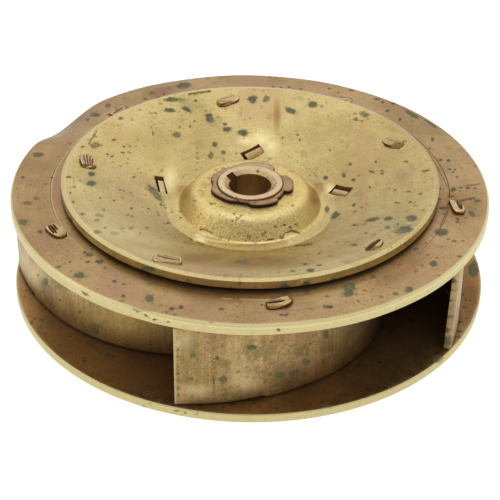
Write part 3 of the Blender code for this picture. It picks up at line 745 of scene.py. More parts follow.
class Surface:
    """The vertices of a piece, with where the photograph shows each, to paint on."""

    def __init__(self, piece):
        self.mesh = piece.data
        self.points = self.read(self.mesh.vertices, "co")
        self.normals = self.read(self.mesh.vertex_normals, "vector")
        self.px, self.py, self.depth = to_pixels(self.points)
        self.radius = np.hypot(self.points[:, 0], self.points[:, 1])
        self.angle = np.arctan2(self.points[:, 1], self.points[:, 0])
        self.height = self.points[:, 2]
        towards = np.array(camera_axes()[0]) - self.points
        self.facing = np.einsum("ij,ij->i", self.normals, towards) > 0
        self.right, self.back = self.on_side(0), self.on_side(90)
        self.left, self.front = self.on_side(180), self.on_side(-90)

    def read(self, items, name):
        values = np.empty(len(items) * 3)
        items.foreach_get(name, values)
        return values.reshape(-1, 3)

    def on_side(self, degrees):
        """How far each vertex lies on the side of the axis in this direction, from 0 to 1."""
        return np.clip(np.cos(self.angle - radians(degrees)), 0, 1)

    def paint(self, **layers):
        """Keeps one number for each vertex in each layer, for the material to read."""
        for name, values in layers.items():
            attribute = self.mesh.attributes.new(name, "FLOAT", "POINT")
            attribute.data.foreach_set("value", np.clip(values, 0, 1).astype(np.float32))

    def paint_walls(self, low, high):
        """Marks the upright faces between two radii, such as the walls of the slots there."""
        centres = self.read(self.mesh.polygons, "center")
        upright = np.abs(self.read(self.mesh.polygon_normals, "vector")[:, 2]) < 0.2
        radius = np.hypot(centres[:, 0], centres[:, 1])
        attribute = self.mesh.attributes.new("wall", "FLOAT", "FACE")
        attribute.data.foreach_set("value", (upright & (radius > low) & (radius < high)).astype(np.float32))

    def near_pixel(self, x, y, reach):
        """The vertices near a pixel, on the stretch of surface that is seen there."""
        near = np.flatnonzero(self.facing & (np.abs(self.px - x) < reach) & (np.abs(self.py - y) < reach))
        if len(near) == 0:
            return near
        away = np.hypot(self.px[near] - x, self.py[near] - y)
        front = self.depth[near[away < away.min() + 1.5]].min()
        return near[np.abs(self.depth[near] - front) < 3 * MM + 0.6 * MM * reach]

    def marks(self, places):
        """A field that is 1 in the middle of each mark, 0.5 on its outline and 0 well outside."""
        field = np.zeros(len(self.points))
        for x, y, half_width, half_height, *turn in places:
            near = self.near_pixel(x, y, 2 * max(half_width, half_height))
            lean = radians(turn[0]) if turn else 0
            across, down = self.px[near] - x, self.py[near] - y
            u = (across * cos(lean) - down * sin(lean)) / half_width
            v = (across * sin(lean) + down * cos(lean)) / half_height
            field[near] = np.maximum(field[near], 1 - np.hypot(u, v) / 2)
        return field

    def strokes(self, lines):
        """A field like that of marks along lines: (half width, pixel, pixel, ...)."""
        field = np.zeros(len(self.points))
        for half_width, *places in lines:
            for (x0, y0), (x1, y1) in zip(places, places[1:]):
                span = np.array((x1 - x0, y1 - y0))
                length = np.linalg.norm(span)
                near = self.near_pixel((x0 + x1) / 2, (y0 + y1) / 2, length / 2 + 2 * half_width)
                from_start = np.stack([self.px[near] - x0, self.py[near] - y0], axis=1)
                share = np.clip(from_start @ span / length**2, 0, 1)
                away = np.linalg.norm(from_start - share[:, None] * span, axis=1)
                field[near] = np.maximum(field[near], 1 - away / (2 * half_width))
        return field

    def scattered(self, where, amount, seed):
        """A field like that of marks at random places of the vertices where a mask holds."""
        count, smallest, largest = amount
        own = np.random.default_rng(seed)
        field = np.zeros(len(self.points))
        choices = np.flatnonzero(where)
        for centre in self.points[own.choice(choices, count)] if len(choices) else ():
            away = np.linalg.norm(self.points - centre, axis=1)
            field = np.maximum(field, 1 - away / (2 * own.uniform(smallest, largest) * MM))
        return field

    def round_heads(self, heads, turn, height, slope=0.0):
        """A band of painted shadow round the foot of each raised head, the stronger the higher the head
        stands.
        """
        field = np.zeros(len(self.points))
        for vane, head in enumerate(heads):
            matrix = tab_matrix(turn, height, slope, vane, head.along, head.across)
            along, across, up = (placed(self.points, matrix.inverted()) / MM).T
            size = np.abs(along / head.length * 2) ** head.power
            size = (size + np.abs(across / head.width * 2) ** head.power) ** (1 / head.power)
            inside = (size > 0.9) & (size < 1.1) & (np.abs(up) < 2)
            field = np.maximum(field, 0.6 * ramp(head.height, 0.2, 1.0) * inside)
        return field


def srgb(*colour):
    """A colour as the eye reads it, from 0 to 255, as the linear one that a shader takes."""
    return tuple(((c / 255 + 0.055) / 1.055) ** 2.4 if c > 10 else c / 255 / 12.92 for c in colour)


class Nodes:
    """The nodes of one material or world."""

    def __init__(self, owner):
        owner.use_nodes = True
        self.tree = owner.node_tree

    def node(self, kind, values=(), **settings):
        made = self.tree.nodes.new(kind)
        for name, value in settings.items():
            setattr(made, name, value)
        for key, value in dict(values).items():
            self.give(made.inputs[key], value)
        return made

    def give(self, socket, value):
        """Links a socket to another one, or sets it. Three numbers are a colour as the eye reads it."""
        if isinstance(value, bpy.types.NodeSocket):
            self.tree.links.new(value, socket)
        elif isinstance(value, tuple) and socket.type == "RGBA" and len(value) == 3:
            socket.default_value = (*srgb(*value), 1)
        else:
            socket.default_value = value

    def math(self, operation, a, b=0.0, clamp=False):
        return self.node("ShaderNodeMath", {0: a, 1: b}, operation=operation, use_clamp=clamp).outputs[0]

    def times(self, a, b):
        return self.math("MULTIPLY", a, b)

    def largest(self, first, *others):
        for other in others:
            first = self.math("MAXIMUM", first, other)
        return first

    def total(self, *terms):
        """The sum of (field, weight) terms."""
        first, *others = [self.times(field, weight) for field, weight in terms]
        for other in others:
            first = self.math("ADD", first, other)
        return first

    def band(self, value, low, high, out_low=0.0, out_high=1.0, kind="SMOOTHSTEP"):
        values = {"Value": value, "From Min": low, "From Max": high, "To Min": out_low, "To Max": out_high}
        return self.node("ShaderNodeMapRange", values, interpolation_type=kind).outputs["Result"]


class Finish(Nodes):
    """The nodes of one material, whose colour is built up coat by coat."""

    def __init__(self, name):
        self.material = bpy.data.materials.new(name)
        super().__init__(self.material)
        self.shader = self.tree.nodes["Principled BSDF"]
        self.place = self.node("ShaderNodeTexCoord").outputs["Object"]
        self.colour = None

    def set(self, name, value):
        self.give(self.shader.inputs[name], value)

    def noise(self, scale, detail=4.0, roughness=0.55, where=None):
        values = {"Vector": where or self.place, "Scale": scale, "Detail": detail, "Roughness": roughness}
        return self.node("ShaderNodeTexNoise", values).outputs["Fac"]

    def shifted(self, distance):
        """Another part of the endless noise, so that two layers don't match."""
        values = {"Vector": self.place, "Location": (distance,) * 3}
        return self.node("ShaderNodeMapping", values).outputs[0]

    def mix(self, share, a, b, blend="MIX"):
        made = self.node("ShaderNodeMix", {"Factor": share}, data_type="RGBA", blend_type=blend)
        self.give(made.inputs[6], a)
        self.give(made.inputs[7], b)
        return made.outputs[2]

    def coat(self, colour, share, strength=1.0, blend="MIX"):
        """Lays a colour over what is there."""
        self.colour = self.mix(self.times(share, strength), self.colour, colour, blend)

    def tint(self, factor):
        """Brightens or darkens what is there."""
        self.colour = self.mix(1.0, self.colour, factor, "MULTIPLY")

    def painted(self, name):
        return self.node("ShaderNodeAttribute", attribute_name=name).outputs["Fac"]

    def frayed(self, name, fray, amount):
        """A painted field with its edge broken up by a noise."""
        return self.total((self.painted(name), 1.0), (self.math("SUBTRACT", fray, 0.5), amount))

    def lathe_marks(self, scale, along):
        """Fine marks that run round the axis, as a lathe or a turning brush leaves them."""
        split = self.node("ShaderNodeSeparateXYZ", {0: self.place})
        x, y = split.outputs[0], split.outputs[1]
        radius = self.math("SQRT", self.total((x, x), (y, y)))
        angle = self.math("ARCTAN2", y, x)
        values = {0: self.times(radius, scale), 1: self.times(angle, along)}
        return self.noise(1.0, 3.0, 0.6, self.node("ShaderNodeCombineXYZ", values).outputs[0])

    def upright_marks(self, scale):
        """Fine marks that run up and down."""
        stretched = self.node("ShaderNodeMapping", {"Vector": self.place, "Scale": (1, 1, 0.08)}).outputs[0]
        return self.noise(scale, 3.0, 0.6, stretched)

    def specks(self, scale, share, largest):
        """Small round pits, in crowds, in a share of the cells of a net."""
        cells = self.node("ShaderNodeTexVoronoi", {"Vector": self.place, "Scale": scale}, feature="F1")
        chance = self.node("ShaderNodeSeparateColor", {0: cells.outputs["Color"]}).outputs[0]
        size = self.band(chance, 1 - share, 1, 0, largest)
        crowd = self.band(self.noise(48, 3, 0.6), 0.38, 0.58, 0.15, 1.0)
        return self.times(self.band(self.math("SUBTRACT", size, cells.outputs["Distance"]), 0, 0.07), crowd)


class Brass(Finish):
    """Brass plate with its tarnish, corrosion, wear and soiling, and with painted light and shade, each
    where its painted layer says.
    """

    def __init__(self, name):
        super().__init__(name)
        look = LOOKS[name]
        self.cloud, self.mottle = self.noise(75, 4, 0.6), self.noise(420, 4, 0.65)
        self.grain = self.noise(2300, 2, 0.6)
        self.fray, self.fine_fray = self.noise(460, 4, 0.75), self.noise(1500, 3, 0.7)
        self.streak = self.lathe_marks(2600, 2.5) if look.lathe else self.upright_marks(700)
        self.tarnish(look)
        self.polish(look)
        self.corrode(look)
        self.wear(look)
        self.shine(look)

    def tarnish(self, look):
        """Clouds of bare, aged, rosy and dull metal, with fine marks and a grain."""
        tone = self.total((self.noise(22, 3, 0.5), 0.35), (self.cloud, 0.4), (self.mottle, 0.25))
        self.colour = self.mix(self.band(tone, 0.41, 0.59), look.aged, look.bare)
        blush = self.band(self.noise(48, 4, 0.62, self.shifted(3.1)), 0.50, 0.66)
        self.coat(look.rose, blush, 0.34 * look.contrast)
        dull = self.band(self.noise(120, 5, 0.7, self.shifted(7.7)), 0.52, 0.68)
        self.coat(look.stain, dull, 0.24 * look.contrast)
        for marks, darker, brighter in ((self.streak, 0.10, 0.04), (self.grain, 0.14, 0.10)):
            self.tint(self.band(marks, 0.3, 0.7, 1 - darker * look.contrast, 1 + brighter * look.contrast))

    def polish(self, look):
        """Polished golden places that also carry painted sheen, hammered and rosy places, and places browned
        as painted shade as well as tarnish.
        """
        self.coat(GOLD_AND_SHEEN_COLOUR, self.painted("gold"), 0.95)
        dents = self.band(self.noise(1400, 3, 0.7, self.shifted(5.3)), 0.40, 0.62, 0.15, -0.27)
        self.hammered = self.times(self.painted("hammered"), dents)
        self.tint(self.math("ADD", self.hammered, 1.0))
        self.coat(look.rose, self.band(self.frayed("rose", self.cloud, 2.2), 0.15, 0.75), 0.55)
        brown = self.times(self.painted("umber"), self.band(self.cloud, 0.2, 0.65, 0.75, 1.0))
        self.coat(SHADE_AND_TARNISH_COLOUR, brown, blend="MULTIPLY")

    def corrode(self, look):
        """Specks, stains, green spots with dark rims and pale halos, pits, and dark lines: scratches, and
        painted shadow round raised parts.
        """
        self.speck = self.largest(self.specks(380, 0.5, 0.38), self.times(self.specks(850, 0.6, 0.42), 0.7))
        self.coat(PIT, self.speck, 0.5)
        self.coat(look.stain, self.band(self.frayed("stain", self.fray, 2.6), 0.3, 0.75), 0.5)
        field = self.frayed("spot", self.total((self.fray, 0.75), (self.fine_fray, 0.25)), 1.4)
        strength = self.band(self.noise(110, 2, 0.5), 0.36, 0.6, 0.65, 0.95)
        self.spot = self.times(self.band(field, 0.30, 0.68), strength)
        self.coat(HALO, self.band(field, 0.15, 0.5), 0.3)
        heart = self.mix(self.band(self.noise(150, 2, 0.5), 0.44, 0.56), TEAL, OLIVE)
        heart = self.mix(self.band(field, 0.5, 0.8), SPOT_RIM, heart)
        heart = self.mix(self.band(self.noise(900, 3, 0.7), 0.45, 0.65, 0.0, 0.6), heart, SPOT_RIM)
        self.coat(heart, self.spot)
        self.pit = self.band(self.frayed("pit", self.fine_fray, 1.8), 0.34, 0.62)
        self.coat(PIT, self.pit, 0.85)
        self.line = self.band(self.frayed("line", self.fine_fray, 1.6), 0.34, 0.68)
        self.coat(SCRATCH_AND_SHADOW_LINE_COLOUR, self.line, 0.8)

    def wear(self, look):
        """Bare edges that also take painted highlights, painted light, the slot walls in a dull brown that
        stands in part for their shade, and near black that is mostly painted shade with some soiling.
        """
        edge = self.times(self.painted("worn"), self.band(self.noise(380, 4, 0.6), 0.22, 0.45, 0.6, 1.0))
        kept = self.math("SUBTRACT", 1, self.times(self.largest(self.pit, self.spot), 0.85))
        metal = self.mix(1.0, look.worn, self.band(self.grain, 0.3, 0.7, 0.88, 1.06), "MULTIPLY")
        self.coat(metal, edge, kept)
        self.coat(PAINTED_LIGHT_COLOUR, self.painted("glow"), 0.75)
        self.wall = self.painted("wall")
        self.coat(WALL, self.wall)
        self.shade_and_dirt = self.times(self.painted("grime"), self.band(self.mottle, 0.2, 0.6, 0.85, 1.0))
        self.coat(SHADE_AND_DIRT_COLOUR, self.shade_and_dirt)

    def shine(self, look):
        """Sets the shader: less metallic and rougher where there is a crust or painted shade, with a fine
        relief.
        """
        self.set("Base Color", self.colour)
        crust = self.largest(self.spot, self.pit, self.shade_and_dirt, self.wall)
        self.set("Metallic", self.math("SUBTRACT", 0.97, self.times(crust, 0.65), True))
        uneven = self.total((self.mottle, 0.22), (crust, 0.25), (self.painted("gold"), 0.06))
        self.set("Roughness", self.math("ADD", look.rough - 0.11, uneven))
        relief = self.total(
            (self.mottle, 0.8), (self.grain, 0.35), (self.streak, 0.25), (self.cloud, 1.5),
            (self.speck, -0.3), (self.spot, -0.3), (self.pit, -0.3), (self.line, -0.3), (self.hammered, 1.5),
        )
        bump = self.node("ShaderNodeBump", {"Height": relief, "Strength": 0.4, "Distance": 0.00012})
        self.set("Normal", bump.outputs[0])


def finish_piece(piece, finish, node=None):
    """Gives a piece its material, hangs it under the root body and, where a node is given, hides that node
    of the frame.
    """
    piece.data.materials.clear()
    piece.data.materials.append(finish.material)
    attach(piece, "root")
    if node:
        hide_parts(node)


def plate_surface(spacing, arc_step):
    """The upper side of the hub plate, from its hole out to the band round its rim."""
    corners = (
        (SLEEVE_RADIUS + RUNNING_GAP, DOME_TOP, 0),
        (SHOULDER_RADIUS, DOME_TOP, SHOULDER_FILLET),
        (VALLEY_INNER_RADIUS, VALLEY_TOP, VALLEY_INNER_FILLET),
        (VALLEY_OUTER_RADIUS, VALLEY_TOP, VALLEY_OUTER_FILLET),
        (BOWL_RADIUS, BOWL_TOP, BOWL_FILLET),
        (PLATE_RADIUS - PLATE_RIM_BAND, PLATE_RIM_TOP, 0),
    )
    return rounded_line(corners, spacing, closed=False, arc_step=arc_step)


def offset_down(line, distance):
    along = np.gradient(line, axis=0)
    square = np.stack([along[:, 1], -along[:, 0]], axis=1)
    return line + square / np.linalg.norm(square, axis=1)[:, None] * distance


def vane_foot(surface, outwards, inwards):
    """How close the vertices are to the foot of a vane, from 1 at its faces down to 0."""
    close = np.zeros(len(surface.points))
    for vane in range(VANES):
        turn = (surface.angle - VANE_TIP_ANGLE - vane * VANE_PITCH) % (2 * pi)
        out = surface.radius - vane_radius(turn) - vane_lean(turn) - VANE_THICKNESS / 2
        within = np.where(out > 0, 1 - out / outwards, 1 - (-VANE_THICKNESS - out) / inwards)
        close = np.maximum(close, np.where(turn < VANE_SWEEP, within, 0))
    return np.clip(close, 0, 1)


def make_lower_shroud(finish):
    inner, outer, top = EYE_RADIUS, LOWER_RADIUS, LOWER_THICKNESS
    corners = [(r, z, LOWER_EDGE_EASE) for r, z in ((inner, 0), (inner, top), (outer, top), (outer, 0))]
    outline = rounded_line(corners, (MEDIUM, MEDIUM, MEDIUM, COARSE))
    piece = make_closed("lower_shroud_plate", turned_points(outline, LOWER_STEPS))
    turns = (OUTER_TAB_TURN, MIDDLE_TAB_TURN, LOWER_INNER_TAB_TURN)
    cut(piece, [tab_slot(turn, vane, 0, LOWER_THICKNESS) for turn in turns for vane in range(VANES)])
    s = Surface(piece)
    inside = ramp(s.height, 0.6 * LOWER_THICKNESS, 0.9 * LOWER_THICKNESS) * (s.radius < LOWER_RADIUS - MM)
    deep = fall(s.radius, 60 * MM, 88 * MM)
    under = (s.height < 0.2 * MM) & (s.radius < LOWER_RADIUS - 3 * MM)
    # Painted shade: the inside of the disc is browned a little all over, more towards the middle and in one
    # patch, and darkened towards the middle and along the feet of the vanes. The bare outer edge is wear.
    s.paint(
        worn=ramp(s.radius, LOWER_RADIUS - 0.6 * MM, LOWER_RADIUS - 0.2 * MM),
        umber=np.maximum(inside * (0.12 + 0.55 * deep), 0.9 * s.marks(LOWER_SHADE)),
        grime=inside * np.maximum(0.52 * deep, 0.75 * vane_foot(s, 1.3 * MM, 6 * MM) ** 2),
        spot=np.maximum(s.marks(LOWER_SPOTS), s.scattered(under, UNSEEN_SPOTS, seed=1)),
        pit=np.maximum(s.marks(LOWER_PITS), s.scattered(under, UNSEEN_PITS, seed=2)),
        rose=s.scattered(under, UNSEEN_ROSE, seed=3),
    )
    finish_piece(piece, finish, "lower_shroud")


def ring_outline():
    corners = (
        (RING_HOLE_RADIUS, RING_BOTTOM, 0.3 * MM),
        (RING_HOLE_RADIUS, RING_TOP - SEAT_DEPTH, 0.2 * MM),
        (SEAT_RADIUS, RING_TOP - SEAT_DEPTH, 0),
        (SEAT_RADIUS + SEAT_DEPTH, RING_TOP, 0.15 * MM),
        (RING_RADIUS - RING_CHAMFER, RING_TOP, 0.7 * MM),
        (RING_RADIUS, RING_TOP - RING_CHAMFER, 0.6 * MM),
        (RING_RADIUS, RING_BOTTOM, 0.5 * MM),
    )
    return rounded_line(corners, (MEDIUM, *[FINE] * 5, COARSE))


def make_upper_shroud(finish):
    points = turned_points(ring_outline(), RING_STEPS)
    bend_rim(points)
    let_sag(points, RING_WAVES, seed=3)
    nick_rim(points, RING_NICKS, RING_TOP - MM, RING_RADIUS)
    piece = make_closed("upper_shroud_ring", points)
    heads = enumerate(RING_HEADS)
    cut(piece, [tab_slot(OUTER_TAB_TURN, v, RING_BOTTOM, RING_TOP, h.along, h.across) for v, h in heads])
    s = Surface(piece)
    below = fall(s.height, RING_BOTTOM + 0.1 * MM, RING_BOTTOM + 0.5 * MM) * (s.radius < RING_RADIUS - MM)
    plate_shadow = fall(s.radius, PLATE_RADIUS - 0.8 * MM, PLATE_RADIUS + 0.6 * MM)
    seat = bell(s.radius - SEAT_RADIUS, 0.4 * MM) * (s.height > RING_TOP - MM)
    worn = ramp(s.radius, RING_RADIUS - 1.0 * MM, RING_RADIUS - 0.6 * MM)
    pale = 0.7 * np.maximum(ramp(s.strokes(RING_PALE), 0.45, 0.9), seat * s.left)
    rim_top = ramp(ramp(s.height, RING_BOTTOM, RING_TOP), 0.5, 0.8)
    lines = np.maximum(0.8 * s.strokes(RING_LINES), 0.2 * seat * s.right)
    shade = np.clip(0.8 * s.marks(RING_SHADE), 0, 0.5)
    # Painted shade darkens the ring's underside, a painted shadow lies beside the plate's rim, patches of
    # shade are browned, and painted shadow rings the heads. The rim's edge band is wear with a painted
    # highlight on its upper part, weaker on the left. The seat's step is painted pale on its left and dark
    # on its right.
    s.paint(
        worn=np.maximum(worn, pale),
        umber=np.maximum.reduce([shade, 0.25 * s.marks(RING_SOFT_SHADES), 0.6 * plate_shadow]),
        glow=(0.5 - 0.35 * s.left) * worn * rim_top,
        grime=np.maximum(0.75 * below, 0.2 * plate_shadow),
        rose=s.marks(RING_ROSE),
        stain=s.marks(RING_STAINS),
        spot=np.maximum(s.marks(RING_SPOTS), s.scattered(below > 0.5, UNSEEN_SPOTS, seed=4)),
        pit=s.marks(RING_PITS),
        line=np.maximum(lines, s.round_heads(RING_HEADS, OUTER_TAB_TURN, RING_TOP)),
    )
    finish_piece(piece, finish, "upper_shroud")


def plate_points(upper):
    """The plate's points: its upper side, its rim and its under side, with dents, waves and nicks."""
    corners = (
        (*upper[-1], 0),
        (PLATE_RADIUS, PLATE_RIM_EDGE, 0.15 * MM),
        (PLATE_RADIUS, PLATE_RIM_EDGE - PLATE_THICKNESS, 0.12 * MM),
        (*offset_down(upper, PLATE_THICKNESS)[-1], 0),
    )
    rim = rounded_line(corners, FINE, closed=False)[1:-1]
    lower = offset_down(plate_surface(COARSE, COARSE_ARC), PLATE_THICKNESS)
    lower[0, 0] = upper[0, 0]
    points = turned_points(np.concatenate([upper, rim, lower[::-1]]), PLATE_STEPS)
    x, y = points[..., 0], points[..., 1]
    radius = np.hypot(x, y)
    in_bowl = ramp(radius, 30 * MM, 40 * MM) * fall(radius, PLATE_RADIUS - 3 * MM, PLATE_RADIUS)
    let_sag(points, PLATE_WAVES, seed=7, share=in_bowl)
    for vane in range(OPEN_SLOTS):
        centre = slot_matrix(vane).translation
        points[..., 2] -= SLOT_DENT_DEPTH * bell(np.hypot(x - centre.x, y - centre.y), SLOT_DENT_REACH)
    nick_rim(points, PLATE_NICKS, PLATE_RIM_EDGE, PLATE_RADIUS)
    return points


def plate_cutters():
    slots = []
    for vane, (head, slot) in enumerate(zip(PLATE_HEADS, INNER_SLOTS)):
        slots.append(tab_slot(MIDDLE_TAB_TURN, vane, VALLEY_TOP, PLATE_RIM_TOP, head.along, head.across))
        length, width = slot.length * MM, slot.width * MM
        slots.append(box_part(slot_matrix(vane), length, width, VALLEY_TOP - CUT_MARGIN, PLATE_RIM_TOP))
    return slots


def plate_line_layer(s, upper, above):
    """Scratches, painted shade along the fold at the valley's outer edge, mostly on its right, and painted
    shadow round the collar and round the heads.
    """
    scratches = np.maximum(s.strokes(PLATE_LINES), 0.5 * s.strokes(PLATE_FAINT_LINES))
    beside = s.on_side(-5) ** 0.5 + 0.5 * s.on_side(195)
    valley_fold_shade = 0.4 * beside * bell(s.radius - VALLEY_OUTER_RADIUS - 0.9 * MM, 0.3 * MM) * above
    from_collar = s.radius - collar_radii(s.angle) - (0.1 + 2.3 * s.back) * MM
    collar_shadow = 0.6 * bell(from_collar, 0.3 * MM) * (s.height > DOME_TOP - MM)
    middle = height_on(upper, vane_radius(MIDDLE_TAB_TURN))
    heads = s.round_heads(PLATE_HEADS, MIDDLE_TAB_TURN, *middle)
    return np.maximum.reduce([scratches, valley_fold_shade, collar_shadow, heads])


def make_hub_plate(finish):
    upper = plate_surface(PLATE_SPACING, FINE_ARC)
    piece = make_closed("hub_plate_dished", plate_points(upper))
    cut(piece, plate_cutters())
    s = Surface(piece)
    below = s.normals[:, 2] < -0.3
    above = 1 - below
    rim = s.radius > PLATE_RADIUS - 0.3 * MM
    on_rim = rim * fall(s.height, PLATE_RIM_EDGE - 0.4 * MM, PLATE_RIM_EDGE - 0.05 * MM)
    rim_top = ramp(s.height, PLATE_RIM_EDGE - 0.6 * PLATE_THICKNESS, PLATE_RIM_EDGE - 0.3 * PLATE_THICKNESS)
    band_radius = PLATE_RADIUS - PLATE_RIM_BAND
    band = ramp(s.radius, band_radius - 0.3 * MM, band_radius + 0.1 * MM) * (1 - on_rim) * above
    off_front = ramp(np.abs(s.angle + pi / 2), 0.4, 1.0)
    off_right = 1 - 0.7 * ramp(s.right, 0.45, 0.75)
    dome = fall(s.radius, VALLEY_INNER_RADIUS, VALLEY_INNER_RADIUS + 2 * MM) * above
    sides = s.right + s.left
    shoulder = bell(s.radius - SHOULDER_RADIUS, 1.6 * MM)
    dome_front = (dome > 0) & (s.radius > SLEEVE_RADIUS + 4 * MM) & (s.front > 0.6)
    shade = np.clip(1.1 * s.marks(PLATE_SHADE), 0, 0.7)
    soft_shade = 0.2 * s.marks(PLATE_SOFT_SHADES)
    painted_lights = 0.7 * s.marks(PLATE_PAINTED_LIGHTS) + 0.45 * s.marks(PLATE_SOFT_PAINTED_LIGHTS)
    highlight_lines = 0.9 * ramp(s.strokes(PLATE_HIGHLIGHT_LINES), 0.25, 0.8)
    # The slot walls take a dull brown that stands in part for their shade.
    s.paint_walls(VALLEY_OUTER_RADIUS + 1.6 * MM, PLATE_RADIUS - 2 * MM)
    # Painted shade darkens the underside and browns the sides of the dome, which also take a painted golden
    # sheen, and the dome's shoulder takes a painted highlight. The band round the rim is bare metal with a
    # painted highlight that weakens at the front and on the right. Painted light and shade also lie where
    # their marks are listed.
    s.paint(
        worn=band * (0.4 + 0.4 * off_front) * off_right,
        gold=np.maximum(dome * (0.2 + 0.4 * sides + 0.15 * shoulder), 0.3 * on_rim),
        hammered=dome * (0.25 + 0.75 * s.front),
        umber=np.maximum.reduce([shade, 0.25 * dome * sides, soft_shade, 0.6 * below]),
        grime=np.maximum(0.7 * below, on_rim * 0.12 * rim_top),
        rose=s.marks(PLATE_ROSE),
        stain=s.marks(PLATE_STAINS),
        spot=np.maximum(s.marks(PLATE_SPOTS), s.scattered(below, UNSEEN_SPOTS, seed=5)),
        pit=np.maximum(s.marks(PLATE_PITS), 0.85 * s.scattered(dome_front, DOME_PITS, seed=6)),
        line=plate_line_layer(s, upper, above),
        glow=np.maximum(painted_lights, highlight_lines) + (0.2 + 0.25 * s.front) * dome * shoulder,
    )
    finish_piece(piece, finish, "hub_plate")


def vane_top(radius, underside):
    if radius > VANE_STEP_RADIUS:
        return RING_BOTTOM - RUNNING_GAP
    return height_on(underside, radius)[0] - 2 * RUNNING_GAP


def vane_turns():
    """The stations along a vane, with two close together where its upper edge steps up."""
    step_turn = (VANE_TIP_RADIUS - VANE_STEP_RADIUS) / VANE_SPIRAL
    half_step = VANE_STEP_WIDTH / VANE_SPIRAL / 2
    even = np.linspace(0, VANE_SWEEP, VANE_STATIONS)
    clear = even[np.abs(even - step_turn) > 1.2 * half_step]
    return np.sort([*clear, step_turn - half_step, step_turn + half_step])


def rounded_section(bottom, top):
    """The outline of a vane's section as rows of (across, height), as many for every height."""
    near, far = VANE_EASE, VANE_THICKNESS - VANE_EASE
    low, high = bottom + VANE_EASE, top - VANE_EASE
    rise = np.linspace(low, high, VANE_ROWS)
    rows = []
    for quarter, (across, height) in enumerate(((far, low), (far, high), (near, high), (near, low))):
        turn = pi / 2 * (quarter - 1) + np.linspace(0, pi / 2, ARC_ROWS)
        arc = across + VANE_EASE * np.cos(turn), height + VANE_EASE * np.sin(turn)
        rows.append(np.stack(arc, axis=1))
    outer = np.stack([np.full(VANE_ROWS, VANE_THICKNESS), rise], axis=1)[1:-1]
    inner = np.stack([np.zeros(VANE_ROWS), rise[::-1]], axis=1)[1:-1]
    return np.concatenate([rows[0], outer, rows[1], rows[2], inner, rows[3]])


def vane_part(vane, underside):
    """The points and faces of a vane's curved sheet, which bellies out towards its lower edge."""
    sections = []
    gap_turns, gaps = np.array(VANE_GAPS.get(vane + 1, PLAIN_GAP)).T
    for turn in vane_turns():
        heading = vane_heading(turn)
        along, side = np.array((cos(heading), sin(heading))), np.array((sin(heading), -cos(heading)))
        bottom = LOWER_THICKNESS + np.interp(turn, np.radians(gap_turns), gaps) * MM
        rows = rounded_section(bottom, vane_top(vane_radius(turn), underside))
        up = ramp(rows[:, 1], LOWER_THICKNESS, rows[:, 1].max())[:, None]
        middle = np.array(vane_point(turn, vane_lean(turn))) * (1 - up) + np.array(vane_point(turn)) * up
        rake = VANE_RAKES.get(vane + 1, 0) * (1 - up) * fall(turn, 0, radians(6))
        flat = middle + side * (rows[:, :1] - VANE_THICKNESS / 2) - along * rake
        sections.append(np.concatenate([flat, rows[:, 1:]], axis=1))
    points = np.stack(sections)
    rings, steps = points.shape[:2]
    faces = loop_faces(rings, steps, closed=False)
    last = (rings - 1) * steps
    for k in range(steps // 2 - 1):
        strip = [k, k + 1, steps - 2 - k, steps - 1 - k]
        faces += [strip, [last + i for i in reversed(strip)]]
    return placed(points.reshape(-1, 3), Matrix.Rotation(vane * VANE_PITCH, 4, "Z")), faces


def make_vane_sheet(vane, underside, finish):
    number = vane + 1
    piece = make_mesh(f"vane_{number}_sheet", *vane_part(vane, underside), sharp=radians(60))
    s = Surface(piece)
    shade_start = VANE_SHADE_STARTS.get(number, PLAIN_SHADE_START)
    deep = fall(s.radius, shade_start - 16 * MM, shade_start)
    far_in = fall(s.radius, shade_start - 21 * MM, shade_start - 9 * MM)
    rise = ramp(s.height, LOWER_THICKNESS, RING_BOTTOM)
    foot = fall(s.height, LOWER_THICKNESS + 0.3 * MM, LOWER_THICKNESS + 1.1 * MM)
    turn = (s.angle - VANE_TIP_ANGLE - vane * VANE_PITCH + pi) % (2 * pi) - pi
    end = fall(s.radius * turn, 0.3 * MM, 0.9 * MM) * (s.radius > vane_radius(turn) + vane_lean(turn))
    elsewhere = ~s.facing if number in VANE_SPOTS else s.radius > 0
    s.facing |= turn < radians(0.7)  # the end of the sheet takes marks too
    spots, pits = (s.marks(marks.get(number, ())) for marks in (VANE_SPOTS, VANE_PITS))
    # Painted shade: the face is browned and darkened further in and towards its foot. Its bare end also
    # takes a painted highlight, and the pale and golden patches are painted light.
    s.paint(
        umber=np.clip(0.7 * deep + 0.4 * fall(rise, 0, 0.3), 0, 1),
        grime=np.clip(0.9 * far_in + 0.6 * foot + 0.12 * fall(rise, 0, 0.4), 0, 1),
        worn=VANE_END_WEAR_AND_HIGHLIGHTS.get(number, PLAIN_END_WEAR_AND_HIGHLIGHT) * end,
        stain=s.marks(VANE_STAINS.get(number, ())),
        spot=np.maximum(spots, s.scattered(elsewhere, UNSEEN_VANE_SPOTS, seed=10 + vane)),
        pit=np.maximum(pits, s.scattered(elsewhere, UNSEEN_VANE_PITS, seed=20 + vane)),
        line=0.75 * s.strokes(VANE_LINES.get(number, ())),
        glow=0.35 * s.marks(VANE_PAINTED_LIGHT.get(number, ())),
        gold=0.35 * s.marks(VANE_PAINTED_GOLD_LIGHT.get(number, ())),
    )
    finish_piece(piece, finish, f"vane_{number}")


